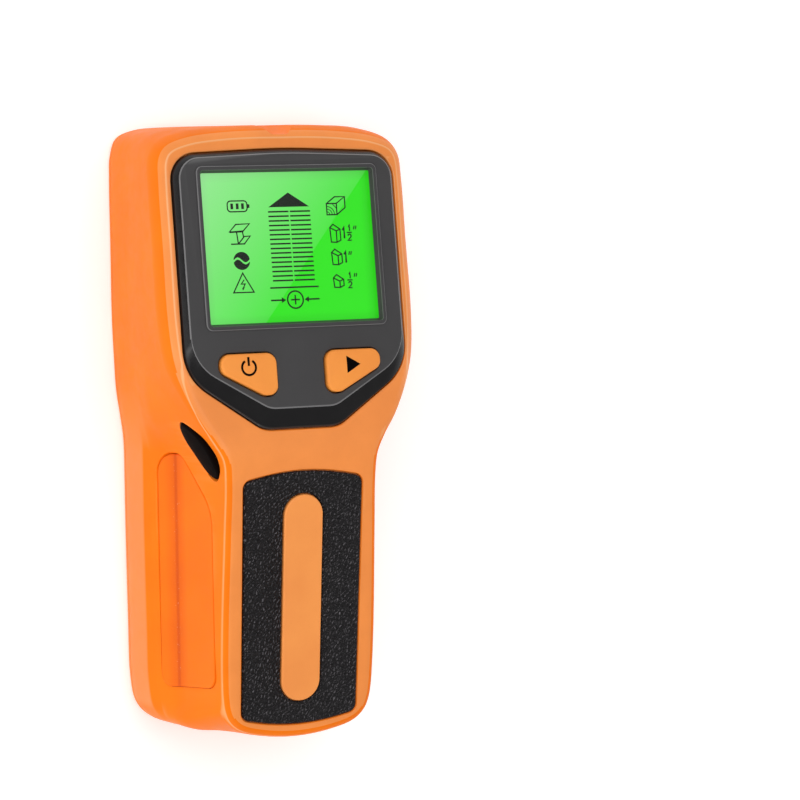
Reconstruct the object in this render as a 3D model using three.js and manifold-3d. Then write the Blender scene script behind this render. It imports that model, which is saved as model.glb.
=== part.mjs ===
// Handheld wall scanner (stud finder), in millimetres, lying on its flat back.
// +X is to the right as the user looks at the display, +Y points to the sensing head and +Z
// comes out of the display. Places along the tool are given as the distance from the bottom end
// of the handle and turned into Y by along().
import * as THREE from 'three';
import { mergeVertices } from 'three/addons/utils/BufferGeometryUtils.js';
import Module from 'manifold-3d';

const wasm = await Module();
wasm.setup();

// ---------------------------------------------------------------- driving dimensions
const LENGTH = 160.6;
const RIDGE_ALONG = 74.2;
const RIDGE_HEIGHT = 46;
const STRIP_SLOPE = 0.08;
const HEAD_SLOPE = 0.13;
const WALL = 2.4;
const ROOF = 2.4;
const HEAD_ROOF = 4.8;
const GAP = 0.3;
const SEAM_HEIGHT = 3;
const FLOOR = 2.2;
const VALLEY_HEIGHT = 23;
const RIM_HEIGHT = 16.2;

const BEZEL_FACE = 2;
const BEZEL_UNDERSIDE = -2.2;
const LEDGE = -2.5;
const KEY_UNDERSIDE = -3.3;
const KEY_TRAVEL = 1;
const BOARD_TOP = -8.9;
const BOARD_THICKNESS = 1.6;
const SCREEN_HALF = [23.9, 19.1];
const SCREEN_ALONG = 128.8;

const BATTERY = { half: 13.25, start: 15.2, length: 46.2, low: 2.6, high: 20.1 };
const DOOR = { half: 15, flange: 17, end: 66, thickness: 1.8, flangeLow: 1.0 };

const along = (distance) => distance - LENGTH / 2;
const smooth = (from, to, value) => THREE.MathUtils.smoothstep(value, from, to);

// ---------------------------------------------------------------- colours and finishes
const finish = (color, roughness, metalness = 0) => ({ color, roughness, metalness });
const ORANGE = finish(0xf08a3c, 0.42);
const SOFT_ORANGE = finish(0xee7f30, 0.62);
const KEY_ORANGE = finish(0xff9141, 0.5);
const DARK_GREY = finish(0x454344, 0.45);
const BLACK_RUBBER = finish(0x1d181c, 0.7);
const CLEAR = finish(0xdfeee6, 0.06);
const SCREEN_GREEN = finish(0x3ceb2d, 0.3);
const WHITE_PLASTIC = finish(0xe8e8e4, 0.5);
const BOARD_GREEN = finish(0x1f6b3a, 0.5);
const STEEL = finish(0xb8babd, 0.3, 1);
const COPPER = finish(0xb5673a, 0.35, 1);
const BLACK_PLASTIC = finish(0x161616, 0.5);
const RED_WIRE = finish(0xb01c1c, 0.5);

// ---------------------------------------------------------------- solids
function solid(geometry) {
  const bare = geometry.index ? geometry.toNonIndexed() : geometry.clone();
  bare.deleteAttribute('normal');
  bare.deleteAttribute('uv');
  const merged = mergeVertices(bare, 1e-4);
  return new wasm.Manifold(new wasm.Mesh({
    numProp: 3,
    vertProperties: new Float32Array(merged.attributes.position.array),
    triVerts: new Uint32Array(merged.index.array),
  }));
}

function geometryOf(manifold) {
  const mesh = manifold.getMesh();
  const geometry = new THREE.BufferGeometry();
  geometry.setAttribute('position', new THREE.BufferAttribute(mesh.vertProperties, 3));
  geometry.setIndex(new THREE.BufferAttribute(mesh.triVerts, 1));
  return geometry;
}

const cut = (body, ...tools) => tools.reduce((rest, tool) => rest.subtract(tool), body);
const join = (body, ...others) => others.reduce((sum, other) => sum.add(other), body);

function boxGeometry(x0, x1, y0, y1, z0, z1) {
  const box = new THREE.BoxGeometry(x1 - x0, y1 - y0, z1 - z0);
  return box.translate((x0 + x1) / 2, (y0 + y1) / 2, (z0 + z1) / 2);
}

// A box between two distances along the tool.
const block = (x0, x1, a0, a1, z0, z1) => solid(boxGeometry(x0, x1, along(a0), along(a1), z0, z1));

// A round post standing along Z.
function post(x, y, radius, z0, z1, sides = 16) {
  const cylinder = new THREE.CylinderGeometry(radius, radius, z1 - z0, sides);
  cylinder.rotateX(Math.PI / 2);
  return cylinder.translate(x, y, (z0 + z1) / 2);
}

// The points of a closed outline with an arc of the stated radius at each [x, y, radius] corner.
function roundedPoints(corners, steps = 4) {
  const points = [];
  const count = corners.length;
  corners.forEach(([x, y, radius = 0], i) => {
    const here = new THREE.Vector2(x, y);
    const before = new THREE.Vector2(...corners[(i + count - 1) % count]).sub(here).normalize();
    const after = new THREE.Vector2(...corners[(i + 1) % count]).sub(here).normalize();
    const half = Math.acos(THREE.MathUtils.clamp(before.dot(after), -1, 1)) / 2;
    if (radius === 0 || Math.PI / 2 - half < 0.02) {
      points.push(here);
      return;
    }
    const reach = radius / Math.tan(half);
    const middle = before.clone().add(after).normalize().multiplyScalar(radius / Math.sin(half));
    const centre = here.clone().add(middle);
    const start = here.clone().addScaledVector(before, reach).sub(centre);
    const end = here.clone().addScaledVector(after, reach).sub(centre);
    const turn = Math.atan2(start.cross(end), start.dot(end));
    for (let step = 0; step <= steps; step += 1) {
      points.push(start.clone().rotateAround(new THREE.Vector2(), (turn * step) / steps).add(centre));
    }
  });
  return points;
}

// Moves every point of a counter-clockwise outline outwards by the same distance.
function grow(points, distance) {
  return points.map((point, i) => {
    const before = points[(i + points.length - 1) % points.length];
    const after = points[(i + 1) % points.length];
    const normalIn = new THREE.Vector2(point.y - before.y, before.x - point.x).normalize();
    const normalOut = new THREE.Vector2(after.y - point.y, point.x - after.x).normalize();
    const middle = normalIn.clone().add(normalOut).normalize();
    return point.clone().addScaledVector(middle, distance / middle.dot(normalOut));
  });
}

function prism(points, z0, z1) {
  const shape = new THREE.Shape(points);
  const geometry = new THREE.ExtrudeGeometry(shape, { depth: z1 - z0, bevelEnabled: false });
  return geometry.translate(0, 0, z0);
}

// A solid through matching outlines at rising heights.
function loft(sections) {
  const count = sections[0].points.length;
  const faces = [];
  for (let level = 0; level < sections.length - 1; level += 1) {
    const low = level * count;
    const high = low + count;
    for (let i = 0; i < count; i += 1) {
      const next = (i + 1) % count;
      faces.push(low + i, low + next, high + next);
      faces.push(low + i, high + next, high + i);
    }
  }
  const top = (sections.length - 1) * count;
  THREE.ShapeUtils.triangulateShape(sections[0].points, []).forEach(([a, b, c]) => faces.push(c, b, a));
  THREE.ShapeUtils.triangulateShape(sections[sections.length - 1].points, [])
    .forEach(([a, b, c]) => faces.push(top + a, top + b, top + c));
  const values = sections.flatMap(({ points, z }) => points.flatMap((point) => [point.x, point.y, z]));
  const geometry = new THREE.BufferGeometry();
  geometry.setAttribute('position', new THREE.Float32BufferAttribute(values, 3));
  geometry.setIndex(faces);
  return geometry;
}

// ---------------------------------------------------------------- outer form of the housing
const stripHeight = (a) => RIDGE_HEIGHT - STRIP_SLOPE * (RIDGE_ALONG - a);
const headHeight = (a) => RIDGE_HEIGHT - HEAD_SLOPE * (a - RIDGE_ALONG);
const topHeight = (a) => Math.min(stripHeight(a), headHeight(a));
const headness = (a) => smooth(84, 104, a);

// Right half of the plan, from the bottom centre round to the top centre, as [x, along].
// BASE is the widest outline: wings, waist and head. STRIP is the edge of the raised front.
const BASE = [
  [0, 0.4], [9.2, 0.4], [16.6, 0.5], [22, 1.1], [27.4, 3.2], [30.6, 7.2], [31.9, 14],
  [32.2, 30], [32.4, 55], [32.4, 69], [32.4, 74.5], [32.6, 79], [33.3, 84], [34.7, 91],
  [35.9, 99], [36.5, 110], [36.5, 130], [36.5, 146], [36.1, 153], [33.6, 157.6],
  [27.2, 159.8], [17, 160.5], [8, 160.6], [0, 160.6],
];
const STRIP = [
  [0, 0], [9.2, 0.8], [16.8, 2.9], [19.9, 5.6], [21.2, 8.5], [21.8, 12], [22.1, 17],
  [22.3, 30], [22, 55], [21.9, 69], [22.5, 74.5], [24.9, 79], [28.3, 84], [32.1, 91],
  [35.2, 99], [36.4, 110], [36.4, 130], [36.4, 146], [35.8, 152.8], [33.1, 156.6],
  [26.7, 159], [17, 160.2], [8, 160.6], [0, 160.6],
];

// Levels from the back up to the front face. The inset runs from its handle value to its head
// value, and the height is measured from the back, or down from the front face.
const LEVELS = [
  { plan: BASE, inset: [1.5, 3], height: () => 0 },
  { plan: BASE, inset: [0.4, 1.8], height: () => 1.4 },
  { plan: BASE, inset: [0, 1.5], height: () => 6 },
  { plan: BASE, inset: [0.3, 1.3], height: () => RIM_HEIGHT - 2 },
  { plan: BASE, inset: [1.8, 1.2], height: () => RIM_HEIGHT, onWing: true },
  { plan: BASE, inset: [6.1, 0.7], height: () => VALLEY_HEIGHT, onWing: true },
  { plan: STRIP, inset: [0, 0], height: (a) => topHeight(a) - 1.9 - 2.4 * headness(a) },
  { plan: STRIP, inset: [0.6, 1.3], height: (a) => topHeight(a) - 0.6 - 0.6 * headness(a) },
  { plan: STRIP, inset: [1.9, 3.2], height: (a) => topHeight(a) },
];

// The head's sides lean inwards to the back and its end wall stands upright, so a level's inset
// counts for less along the tool near that end.
const endShare = (a) => 1 - smooth(120, 152, a);

// Moves one key of a plan inwards along its normal, by its level's inset and the wall.
function insetKey(level, index, wall) {
  const { plan } = level;
  const [x, a] = plan[index];
  const inset = levelInset(level, a);
  const lengthways = (plan === BASE ? inset * endShare(a) : inset) + wall;
  if (index === 0) return [x, a + lengthways];
  if (index === plan.length - 1) return [x, a - lengthways];
  const [x0, a0] = plan[index - 1];
  const [x1, a1] = plan[index + 1];
  const normal = new THREE.Vector2(a1 - a0, x0 - x1).normalize();
  return [x - normal.x * (inset + wall), a - normal.y * lengthways];
}

// How much of a wing level's inset applies: none at the bottom end, where the strip stands over
// the wing, all of it along the grip, and none again where the neck widens into the head.
const wingShare = (a) => smooth(1.5, 9, a) * (1 - smooth(72, 85, a));

function levelInset(level, a) {
  const [handle, head] = level.inset;
  const mix = THREE.MathUtils.lerp;
  if (!level.onWing) return mix(handle, head, headness(a));
  return mix(mix(0.4, head, headness(a)), handle, wingShare(a));
}

function levelRing(level, wall, roof, stepsPerKey) {
  const keys = level.plan.map((_, index) => {
    const [x, place] = insetKey(level, index, wall);
    const drop = level.plan === STRIP ? roof(place) : 0;
    return new THREE.Vector3(x, along(place), level.height(place) - drop);
  });
  const leftKeys = keys.slice(1, -1).reverse().map((key) => new THREE.Vector3(-key.x, key.y, key.z));
  const curve = new THREE.CatmullRomCurve3([...keys, ...leftKeys], true, 'centripetal');
  const count = (keys.length + leftKeys.length) * stepsPerKey;
  const ring = [];
  for (let i = 0; i < count; i += 1) {
    ring.push(curve.getPoint(i / count));
  }
  return ring;
}

// Closes a stack of matching rings. The two ends are laddered from side to side, so that they
// follow the rise and fall of their ring.
function stackGeometry(rings) {
  const count = rings[0].length;
  const faces = [];
  for (let level = 0; level < rings.length - 1; level += 1) {
    const low = level * count;
    const high = low + count;
    for (let i = 0; i < count; i += 1) {
      const next = (i + 1) % count;
      faces.push(low + i, low + next, high + next);
      faces.push(low + i, high + next, high + i);
    }
  }
  const ladder = (base, flip) => {
    const face = (a, b, c) => faces.push(...(flip ? [c, b, a] : [a, b, c]));
    const half = count / 2;
    for (let i = 0; i < half; i += 1) {
      const right = base + i;
      const left = base + ((count - i) % count);
      const nextLeft = base + count - i - 1;
      if (i < half - 1) face(right, right + 1, nextLeft);
      if (i > 0) face(right, nextLeft, left);
    }
  };
  ladder(0, true);
  ladder((rings.length - 1) * count, false);
  const geometry = new THREE.BufferGeometry();
  const values = rings.flat().flatMap((point) => [point.x, point.y, point.z]);
  geometry.setAttribute('position', new THREE.Float32BufferAttribute(values, 3));
  geometry.setIndex(faces);
  return geometry;
}

function housingForm(wall, roof, stepsPerKey) {
  return solid(stackGeometry(LEVELS.map((level) => levelRing(level, wall, roof, stepsPerKey))));
}

const outerForm = housingForm(0, () => 0, 2);
const roofAt = (a) => ROOF + (HEAD_ROOF - ROOF) * smooth(74, 84, a);
const innerForm = housingForm(WALL, roofAt, 1);

// ---------------------------------------------------------------- the two tilted frames
// HEAD_FRAME lies in the head's front plane and STRIP_FRAME in the handle's. In both, X is the
// tool's X, Y runs up the plane and Z stands out of it.
const HEAD_TILT = -Math.atan(HEAD_SLOPE);
const STRIP_TILT = Math.atan(STRIP_SLOPE);
const HEAD_START = 106;
const STRIP_START = 40;

function tiltedGroup(start, height, tilt) {
  const group = new THREE.Group();
  group.position.set(0, along(start), height);
  group.rotation.x = tilt;
  group.updateMatrixWorld(true);
  return group;
}

const headGroup = tiltedGroup(HEAD_START, headHeight(HEAD_START), HEAD_TILT);
const stripGroup = tiltedGroup(STRIP_START, stripHeight(STRIP_START), STRIP_TILT);
const upHead = (a) => (a - HEAD_START) / Math.cos(HEAD_TILT);
const upStrip = (a) => (a - STRIP_START) / Math.cos(STRIP_TILT);
const inGroup = (group, geometry) => solid(geometry.clone().applyMatrix4(group.matrixWorld));

// Outlines on the two planes, from [x, along, radius] corners listed counter-clockwise.
const lifted = (corners, up) => corners.map(([x, a, radius]) => [x, up(a), radius]);
const headOutline = (corners, steps) => roundedPoints(lifted(corners, upHead), steps);
const stripOutline = (corners, steps) => roundedPoints(lifted(corners, upStrip), steps);
const rectangle = (half, a0, a1, radius) => [
  [-half, a0, radius], [half, a0, radius], [half, a1, radius], [-half, a1, radius],
];
const mirrored = (rightHalf) => {
  const left = rightHalf.filter(([x]) => x > 0).reverse();
  return [...rightHalf, ...left.map(([x, a, radius]) => [-x, a, radius])];
};

const BEZEL_OUTER = headOutline(mirrored([
  [10.8, 82.1, 8], [31.7, 96.3, 13], [31.7, 153.2, 7], [0, 154.4, 200],
]));
const BEZEL_INNER = headOutline(mirrored([
  [9.4, 87.5, 7], [30.2, 99.5, 12], [30.2, 151.8, 5.5], [0, 153, 200],
]));
const SCREEN = (by, radius) => rectangle(
  SCREEN_HALF[0] + by, SCREEN_ALONG - SCREEN_HALF[1] - by, SCREEN_ALONG + SCREEN_HALF[1] + by, radius,
);
const KEY_RIGHT = headOutline([
  [7.1, 90.7, 2.5], [11, 90.7, 3], [22.9, 96.9, 2.5], [22.9, 101.6, 2.7], [7.1, 101.6, 2.8],
]);
const KEY_LEFT = KEY_RIGHT.map((point) => new THREE.Vector2(-point.x, point.y)).reverse();
const PAD = stripOutline(mirrored([[0, 2.7, 60], [16.4, 6, 2.2], [16.9, 68.6, 2.2], [0, 71.9, 60]]));
const PILL = stripOutline(rectangle(5.55, 10, 64.7, 5.5), 6);

// ---------------------------------------------------------------- the side key on the left neck
// Its frame's Z comes out of the neck's wall and its X runs from the head's back to the strip.
const SIDE_KEY_PLACE = new THREE.Vector3(-26, along(76.8), 38);
const SIDE_KEY_OUT = new THREE.Vector3(-0.89, -0.42, 0.17).normalize();
const SIDE_KEY_RUN = new THREE.Vector3(0.42, -0.854, 0.305);
const sideKeyGroup = new THREE.Group();
{
  const out = SIDE_KEY_OUT;
  const across = out.clone().cross(SIDE_KEY_RUN).normalize();
  const run = across.clone().cross(out);
  sideKeyGroup.quaternion.setFromRotationMatrix(new THREE.Matrix4().makeBasis(run, across, out));
  sideKeyGroup.position.copy(SIDE_KEY_PLACE);
  sideKeyGroup.updateMatrixWorld(true);
}
const LEAF_KEYS = [
  [-8.6, 0.2], [-7.6, -1.7], [-4.2, -2.9], [0, -2.9], [4.1, -2.8], [6.9, -2.1],
  [8.7, -0.1], [7.3, 2.1], [4.7, 3.1], [1.3, 3.8], [-2.4, 3.8], [-6.1, 2.4],
];
const LEAF = new THREE.CatmullRomCurve3(LEAF_KEYS.map(([x, y]) => new THREE.Vector3(x, y, 0)), true)
  .getPoints(LEAF_KEYS.length * 2).slice(0, -1).map(({ x, y }) => new THREE.Vector2(x, y));

// ---------------------------------------------------------------- the assembly
const root = new THREE.Group();
root.add(headGroup, stripGroup, sideKeyGroup);

function addPart(name, shape, look, parent = root) {
  const geometry = shape instanceof THREE.BufferGeometry ? shape : geometryOf(shape);
  const { color, roughness, metalness } = look;
  const mesh = new THREE.Mesh(geometry, new THREE.MeshStandardMaterial({ color, roughness, metalness }));
  mesh.name = name;
  parent.add(mesh);
  return mesh;
}

// A round-headed screw standing along +Z with its head at the bottom.
function screwGeometry(headRadius, headThickness, shankRadius, length) {
  const profile = [
    [0, 0], [headRadius * 0.75, 0], [headRadius, headThickness * 0.4], [headRadius, headThickness],
    [shankRadius, headThickness], [shankRadius, length - 1], [shankRadius * 0.4, length], [0, length],
  ].map(([r, z]) => new THREE.Vector2(r, z));
  return new THREE.LatheGeometry(profile, 12).rotateX(Math.PI / 2);
}

// ---------------------------------------------------------------- housing shells
const REAR_SCREWS = [[-27.5, 147.5], [27.5, 147.5], [-24.2, 17], [24.2, 17]];
const BOARD_SCREWS = [[-30.6, 101.5], [30.6, 101.5], [-30.6, 137.5], [30.6, 137.5]];
const BOSS_START = 5.2;
const LIP_TOP = 4.9;
const GRIP_SECTION = [[29.3, RIM_HEIGHT + 1.9], [26.2, VALLEY_HEIGHT + 0.1], [23.1, 37]];
const GRIP_DEPTH = 1.2;
const GRIP_RUN = [13, 75];

const notch = solid(prism(roundedPoints([
  [-6.6, along(162), 0], [-2.2, along(158.1), 1.6], [2.2, along(158.1), 1.6], [6.6, along(162), 0],
]), -1, 50));
const cavity = cut(innerForm, block(-8.5, 8.5, 154.8, 165, -1, 60));

// The grip bends round the valley between the wing's slope and the strip's wall. Its wall part
// ends on a slant below the neck.
function gripBody(side, proud, depth, spare) {
  const [rim, valley, edge] = GRIP_SECTION.map(([x, z]) => new THREE.Vector2(x, z));
  const outOf = (from, to) => new THREE.Vector2(to.y - from.y, from.x - to.x).normalize();
  const slopeOut = outOf(rim, valley);
  const wallOut = outOf(valley, edge);
  const corner = slopeOut.clone().add(wallOut).normalize();
  const layer = (distance) => [
    rim.clone().addScaledVector(slopeOut, distance),
    valley.clone().addScaledVector(corner, distance / corner.dot(wallOut)),
    edge.clone().addScaledVector(wallOut, distance),
  ];
  const outline = [...layer(proud), ...layer(-depth).reverse()];
  const sided = side > 0 ? outline : outline.map(({ x, y }) => new THREE.Vector2(-x, y)).reverse();
  const [start, end] = GRIP_RUN;
  const bar = prism(sided, -along(end + spare), -along(start - spare)).rotateX(Math.PI / 2);
  const slant = [
    [end + spare, VALLEY_HEIGHT + 1.5], [end + 20, VALLEY_HEIGHT + 1.5], [end + 20, 55],
    [end - 18, 55], [end - 15 + spare, 38],
  ];
  const wedge = prism(slant.map(([a, z]) => new THREE.Vector2(along(a), z)), -40, 40);
  const axes = [new THREE.Vector3(0, 1, 0), new THREE.Vector3(0, 0, 1), new THREE.Vector3(1, 0, 0)];
  wedge.applyMatrix4(new THREE.Matrix4().makeBasis(...axes));
  return cut(solid(bar), solid(wedge));
}

function frontShell() {
  const above = block(-50, 50, -10, 170, SEAM_HEIGHT + GAP, 60);
  const skin = cut(outerForm.intersect(above), cavity);
  const headBosses = REAR_SCREWS.slice(0, 2).flatMap(([x, a]) => [
    solid(post(x, along(a), 2.9, BOSS_START, 22)),
    block(Math.min(x, x * 1.26), Math.max(x, x * 1.26), a - 1, a + 1, BOSS_START, 22),
  ]);
  const handleBosses = REAR_SCREWS.slice(2).map(([x, a]) => solid(post(x, along(a), 2.9, BOSS_START, 20)));
  const boardBosses = BOARD_SCREWS.map(([x, a]) => (
    inGroup(headGroup, post(x, upHead(a), 2.2, BOARD_TOP + GAP, LEDGE - 1.2, 12))
  ));
  const ribbed = join(skin, ...headBosses, ...handleBosses, ...boardBosses);
  const pilots = REAR_SCREWS.map(([x, a]) => solid(post(x, along(a), 1.6, 0, 11, 12)));
  const boardPilots = BOARD_SCREWS.map(([x, a]) => (
    inGroup(headGroup, post(x, upHead(a), 1.2, BOARD_TOP - 1, LEDGE - 2.4, 12))
  ));
  return cut(
    ribbed,
    notch,
    inGroup(headGroup, prism(grow(BEZEL_OUTER, GAP), LEDGE, 9)),
    inGroup(headGroup, prism(grow(BEZEL_OUTER, -1.9), -HEAD_ROOF - 1.5, 0)),
    inGroup(stripGroup, prism(grow(PAD, GAP), -1.2, 6)),
    gripBody(-1, 4, GRIP_DEPTH + GAP, GAP),
    gripBody(1, 4, GRIP_DEPTH + GAP, GAP),
    inGroup(sideKeyGroup, prism(grow(LEAF, 0.35), -9, 6)),
    ...pilots,
    ...boardPilots,
  );
}

const doorSlot = join(
  block(-DOOR.half - GAP, DOOR.half + GAP, -5, DOOR.end + GAP, -1, DOOR.thickness + GAP),
  block(
    -DOOR.flange - GAP, DOOR.flange + GAP, -5, DOOR.end + GAP,
    DOOR.flangeLow - GAP, DOOR.thickness + GAP,
  ),
);

function rearShell() {
  const below = block(-50, 50, -10, 170, -1, SEAM_HEIGHT);
  const hollow = cavity.intersect(block(-50, 50, -10, 170, FLOOR, 60));
  const tray = cut(outerForm.intersect(below), hollow);
  const lipOuter = housingForm(WALL + 0.35, roofAt, 1);
  const lipInner = housingForm(WALL + 1.35, roofAt, 1);
  const lipBand = block(-50, 50, -10, 170, FLOOR - 0.3, LIP_TOP);
  const lip = cut(lipOuter.intersect(lipBand), lipInner, block(-9.6, 9.6, 153.4, 170, FLOOR, 9));
  const bosses = REAR_SCREWS.map(([x, a]) => solid(post(x, along(a), 3.6, 1, LIP_TOP)));
  const bay = cut(
    block(-15.4, 15.4, 12.6, 69.4, FLOOR - 0.2, 22.1),
    block(-14.2, 14.2, 13.8, 68.2, 0, 20.9),
    block(-12, -8, 67, 71, 11, 17),
    block(8, 12, 67, 71, 11, 17),
  );
  const rails = [-1, 1].map((side) => block(side > 0 ? 15.2 : -18.8, side > 0 ? 18.8 : -15.2, 9, 69, 2, 3.9));
  const stands = [[-20, 106], [20, 106], [-20, 150], [20, 150]]
    .map(([x, a]) => solid(post(x, along(a), 2, 2, 3.4 - GAP, 10)));
  const whole = join(tray, lip, ...bosses, bay, ...rails, ...stands);
  const screwHoles = REAR_SCREWS.flatMap(([x, a]) => [
    solid(post(x, along(a), 3.1, -1, 2.4)),
    solid(post(x, along(a), 1.6, 0, 9, 12)),
  ]);
  const labelRecess = solid(prism(roundedPoints(
    rectangle(21, along(108), along(140), 3),
  ), -1, 0.4));
  return cut(whole, notch, doorSlot, block(-14.2, 14.2, 13.8, 68.2, 0, 20.9), labelRecess, ...screwHoles);
}

function batteryDoor() {
  const plate = block(-DOOR.half, DOOR.half, -2, DOOR.end, 0, DOOR.thickness);
  const flanges = block(-DOOR.flange, DOOR.flange, 5, DOOR.end - 1, DOOR.flangeLow, DOOR.thickness);
  const grooves = [];
  for (let groove = 0; groove < 6; groove += 1) {
    const start = 12 + groove * 1.9;
    grooves.push(block(-7.5, 7.5, start, start + 0.9, -1, 0.45));
  }
  return cut(join(plate, flanges).intersect(outerForm), ...grooves);
}

addPart('front_shell', frontShell(), ORANGE);
addPart('rear_shell', rearShell(), ORANGE);
addPart('battery_door', batteryDoor(), ORANGE);
addPart('left_side_grip', gripBody(-1, 0.3, GRIP_DEPTH, 0), SOFT_ORANGE);
addPart('right_side_grip', gripBody(1, 0.3, GRIP_DEPTH, 0), SOFT_ORANGE);
['head_left', 'head_right', 'handle_left', 'handle_right'].forEach((place, i) => {
  const [x, a] = REAR_SCREWS[i];
  const screw = addPart(`rear_screw_${place}`, screwGeometry(2.7, 1.5, 1.25, 9.6), STEEL);
  screw.position.set(x, along(a), 0.6);
});

// ---------------------------------------------------------------- front of the handle
const pillHole = prism(grow(PILL, GAP), -3, 3);
addPart('grip_pad', cut(solid(prism(PAD, -0.9, 0.3)), solid(pillHole)), BLACK_RUBBER, stripGroup);
addPart('name_plate', prism(PILL, -0.9, 0.7), KEY_ORANGE, stripGroup);

// ---------------------------------------------------------------- display and keys
function displayBezel() {
  const plate = solid(loft([
    { points: BEZEL_OUTER, z: BEZEL_UNDERSIDE },
    { points: BEZEL_OUTER, z: 0.1 },
    { points: BEZEL_INNER, z: BEZEL_FACE },
  ]));
  const rim = solid(prism(headOutline(SCREEN(1.8, 1.4)), 0, BEZEL_FACE + 0.6));
  return cut(
    join(plate, rim),
    solid(prism(headOutline(SCREEN(0.3, 0.4)), -3, 4)),
    solid(prism(headOutline(SCREEN(1.3, 0.6)), -3, 1.4)),
    solid(prism(grow(KEY_LEFT, 0.35), -3, 4)),
    solid(prism(grow(KEY_RIGHT, 0.35), -3, 4)),
  );
}

// A key cap with a domed face above the bezel and a flange under it that holds it in.
function keyCap(outline) {
  const cap = loft([
    { points: outline, z: KEY_UNDERSIDE },
    { points: outline, z: BEZEL_FACE + 0.8 },
    { points: grow(outline, -0.5), z: BEZEL_FACE + 1.3 },
  ]);
  return join(solid(cap), solid(prism(grow(outline, 0.8), KEY_UNDERSIDE, KEY_UNDERSIDE + 0.7)));
}

// A push switch whose plunger ends just under its key.
function pushSwitch(x, y) {
  const base = BOARD_TOP + GAP;
  const body = solid(boxGeometry(x - 3, x + 3, y - 3, y + 3, base, base + 3));
  return join(body, solid(post(x, y, 1.7, base + 2, SWITCH_TOP, 12)));
}

addPart('display_bezel', displayBezel(), DARK_GREY, headGroup);
addPart('power_key', keyCap(KEY_LEFT), KEY_ORANGE, headGroup);
addPart('mode_key', keyCap(KEY_RIGHT), KEY_ORANGE, headGroup);
addPart('display_window', prism(headOutline(SCREEN(1, 0.5)), 0.1, 1.1), CLEAR, headGroup);
addPart('lcd_panel', prism(headOutline(SCREEN(1, 0.5)), -2.3, -0.2), SCREEN_GREEN, headGroup);
addPart('lcd_backlight', prism(headOutline(SCREEN(1.6, 0.5)), -6.9, -2.6), WHITE_PLASTIC, headGroup);
const holder = solid(prism(headOutline(SCREEN(3.7, 4)), -8.6, -2.8));
const holderOpening = solid(prism(headOutline(SCREEN(2.3, 0.6)), -9, -2));
addPart('lcd_holder', cut(holder, holderOpening), WHITE_PLASTIC, headGroup);
const KEY_CENTRE = [14.4, upHead(96.8)];
const SWITCH_TOP = KEY_UNDERSIDE - KEY_TRAVEL - GAP;
addPart('power_switch', pushSwitch(-KEY_CENTRE[0], KEY_CENTRE[1]), BLACK_PLASTIC, headGroup);
addPart('mode_switch', pushSwitch(KEY_CENTRE[0], KEY_CENTRE[1]), BLACK_PLASTIC, headGroup);

// ---------------------------------------------------------------- main board
const BOARD_UNDER = BOARD_TOP - BOARD_THICKNESS;
const boardOutline = headOutline(mirrored([
  [20, 88.5, 1], [31.6, 98.5, 2], [32.2, 141.5, 1], [27, 142.5, 1], [27, 151.5, 1],
]), 2);
const boardHoles = BOARD_SCREWS.map(([x, a]) => solid(post(x, upHead(a), 1.3, -12, -8, 12)));
const board = cut(solid(prism(boardOutline, BOARD_UNDER, BOARD_TOP)), ...boardHoles);
addPart('main_board', board, BOARD_GREEN, headGroup);
['lower_left', 'lower_right', 'upper_left', 'upper_right'].forEach((place, i) => {
  const [x, a] = BOARD_SCREWS[i];
  const screw = addPart(`board_screw_${place}`, screwGeometry(1.9, 1.1, 0.9, 5.6), STEEL, headGroup);
  screw.position.set(x, upHead(a), BOARD_UNDER - GAP - 1.1);
});
const processor = boxGeometry(-5.5, 5.5, 12, 23, BOARD_UNDER - 1.8, BOARD_UNDER - GAP);
addPart('processor', processor, BLACK_PLASTIC, headGroup);
const buzzer = post(17, upHead(97), 6, BOARD_UNDER - 5.8, BOARD_UNDER - GAP, 20);
addPart('buzzer', buzzer, BLACK_PLASTIC, headGroup);

// ---------------------------------------------------------------- sensors at the back of the head
const sensorOutline = roundedPoints(mirrored([
  [28.5, along(103), 2], [28.5, along(141), 2], [22.5, along(142), 1], [22.5, along(152.5), 2],
]), 2);
addPart('sensor_board', prism(sensorOutline, 3.4, 5), BOARD_GREEN);
const COIL_ALONG = 127;
const coilProfile = [[12, 6.6], [15.5, 6.6], [15.5, 10.2], [12, 10.2], [12, 6.6]]
  .map(([r, z]) => new THREE.Vector2(r, z));
const coil = new THREE.LatheGeometry(coilProfile, 32).rotateX(Math.PI / 2);
addPart('metal_coil', coil.translate(0, along(COIL_ALONG), 0), COPPER);
const former = join(
  solid(post(0, along(COIL_ALONG), 16, 5.3, 6.3, 28)),
  solid(post(0, along(COIL_ALONG), 11.6, 5.6, 10.6, 24)),
);
const formerHole = solid(post(0, along(COIL_ALONG), 8, 0, 12, 20));
addPart('coil_former', cut(former, formerHole), WHITE_PLASTIC);
addPart('board_cable', block(-8, 8, 107, 107.8, 5.3, 30.6), WHITE_PLASTIC);

// ---------------------------------------------------------------- battery and its leads
function battery() {
  const { half, start, length, low, high } = BATTERY;
  const can = solid(boxGeometry(-half, half, along(start), along(start + length), low, high));
  const middle = (low + high) / 2;
  const stud = (x) => solid(post(x, -middle, 3, along(start + length) - 1, along(start + length) + 2, 12)
    .rotateX(-Math.PI / 2));
  return join(can, stud(-6.4), stud(6.4));
}

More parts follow.
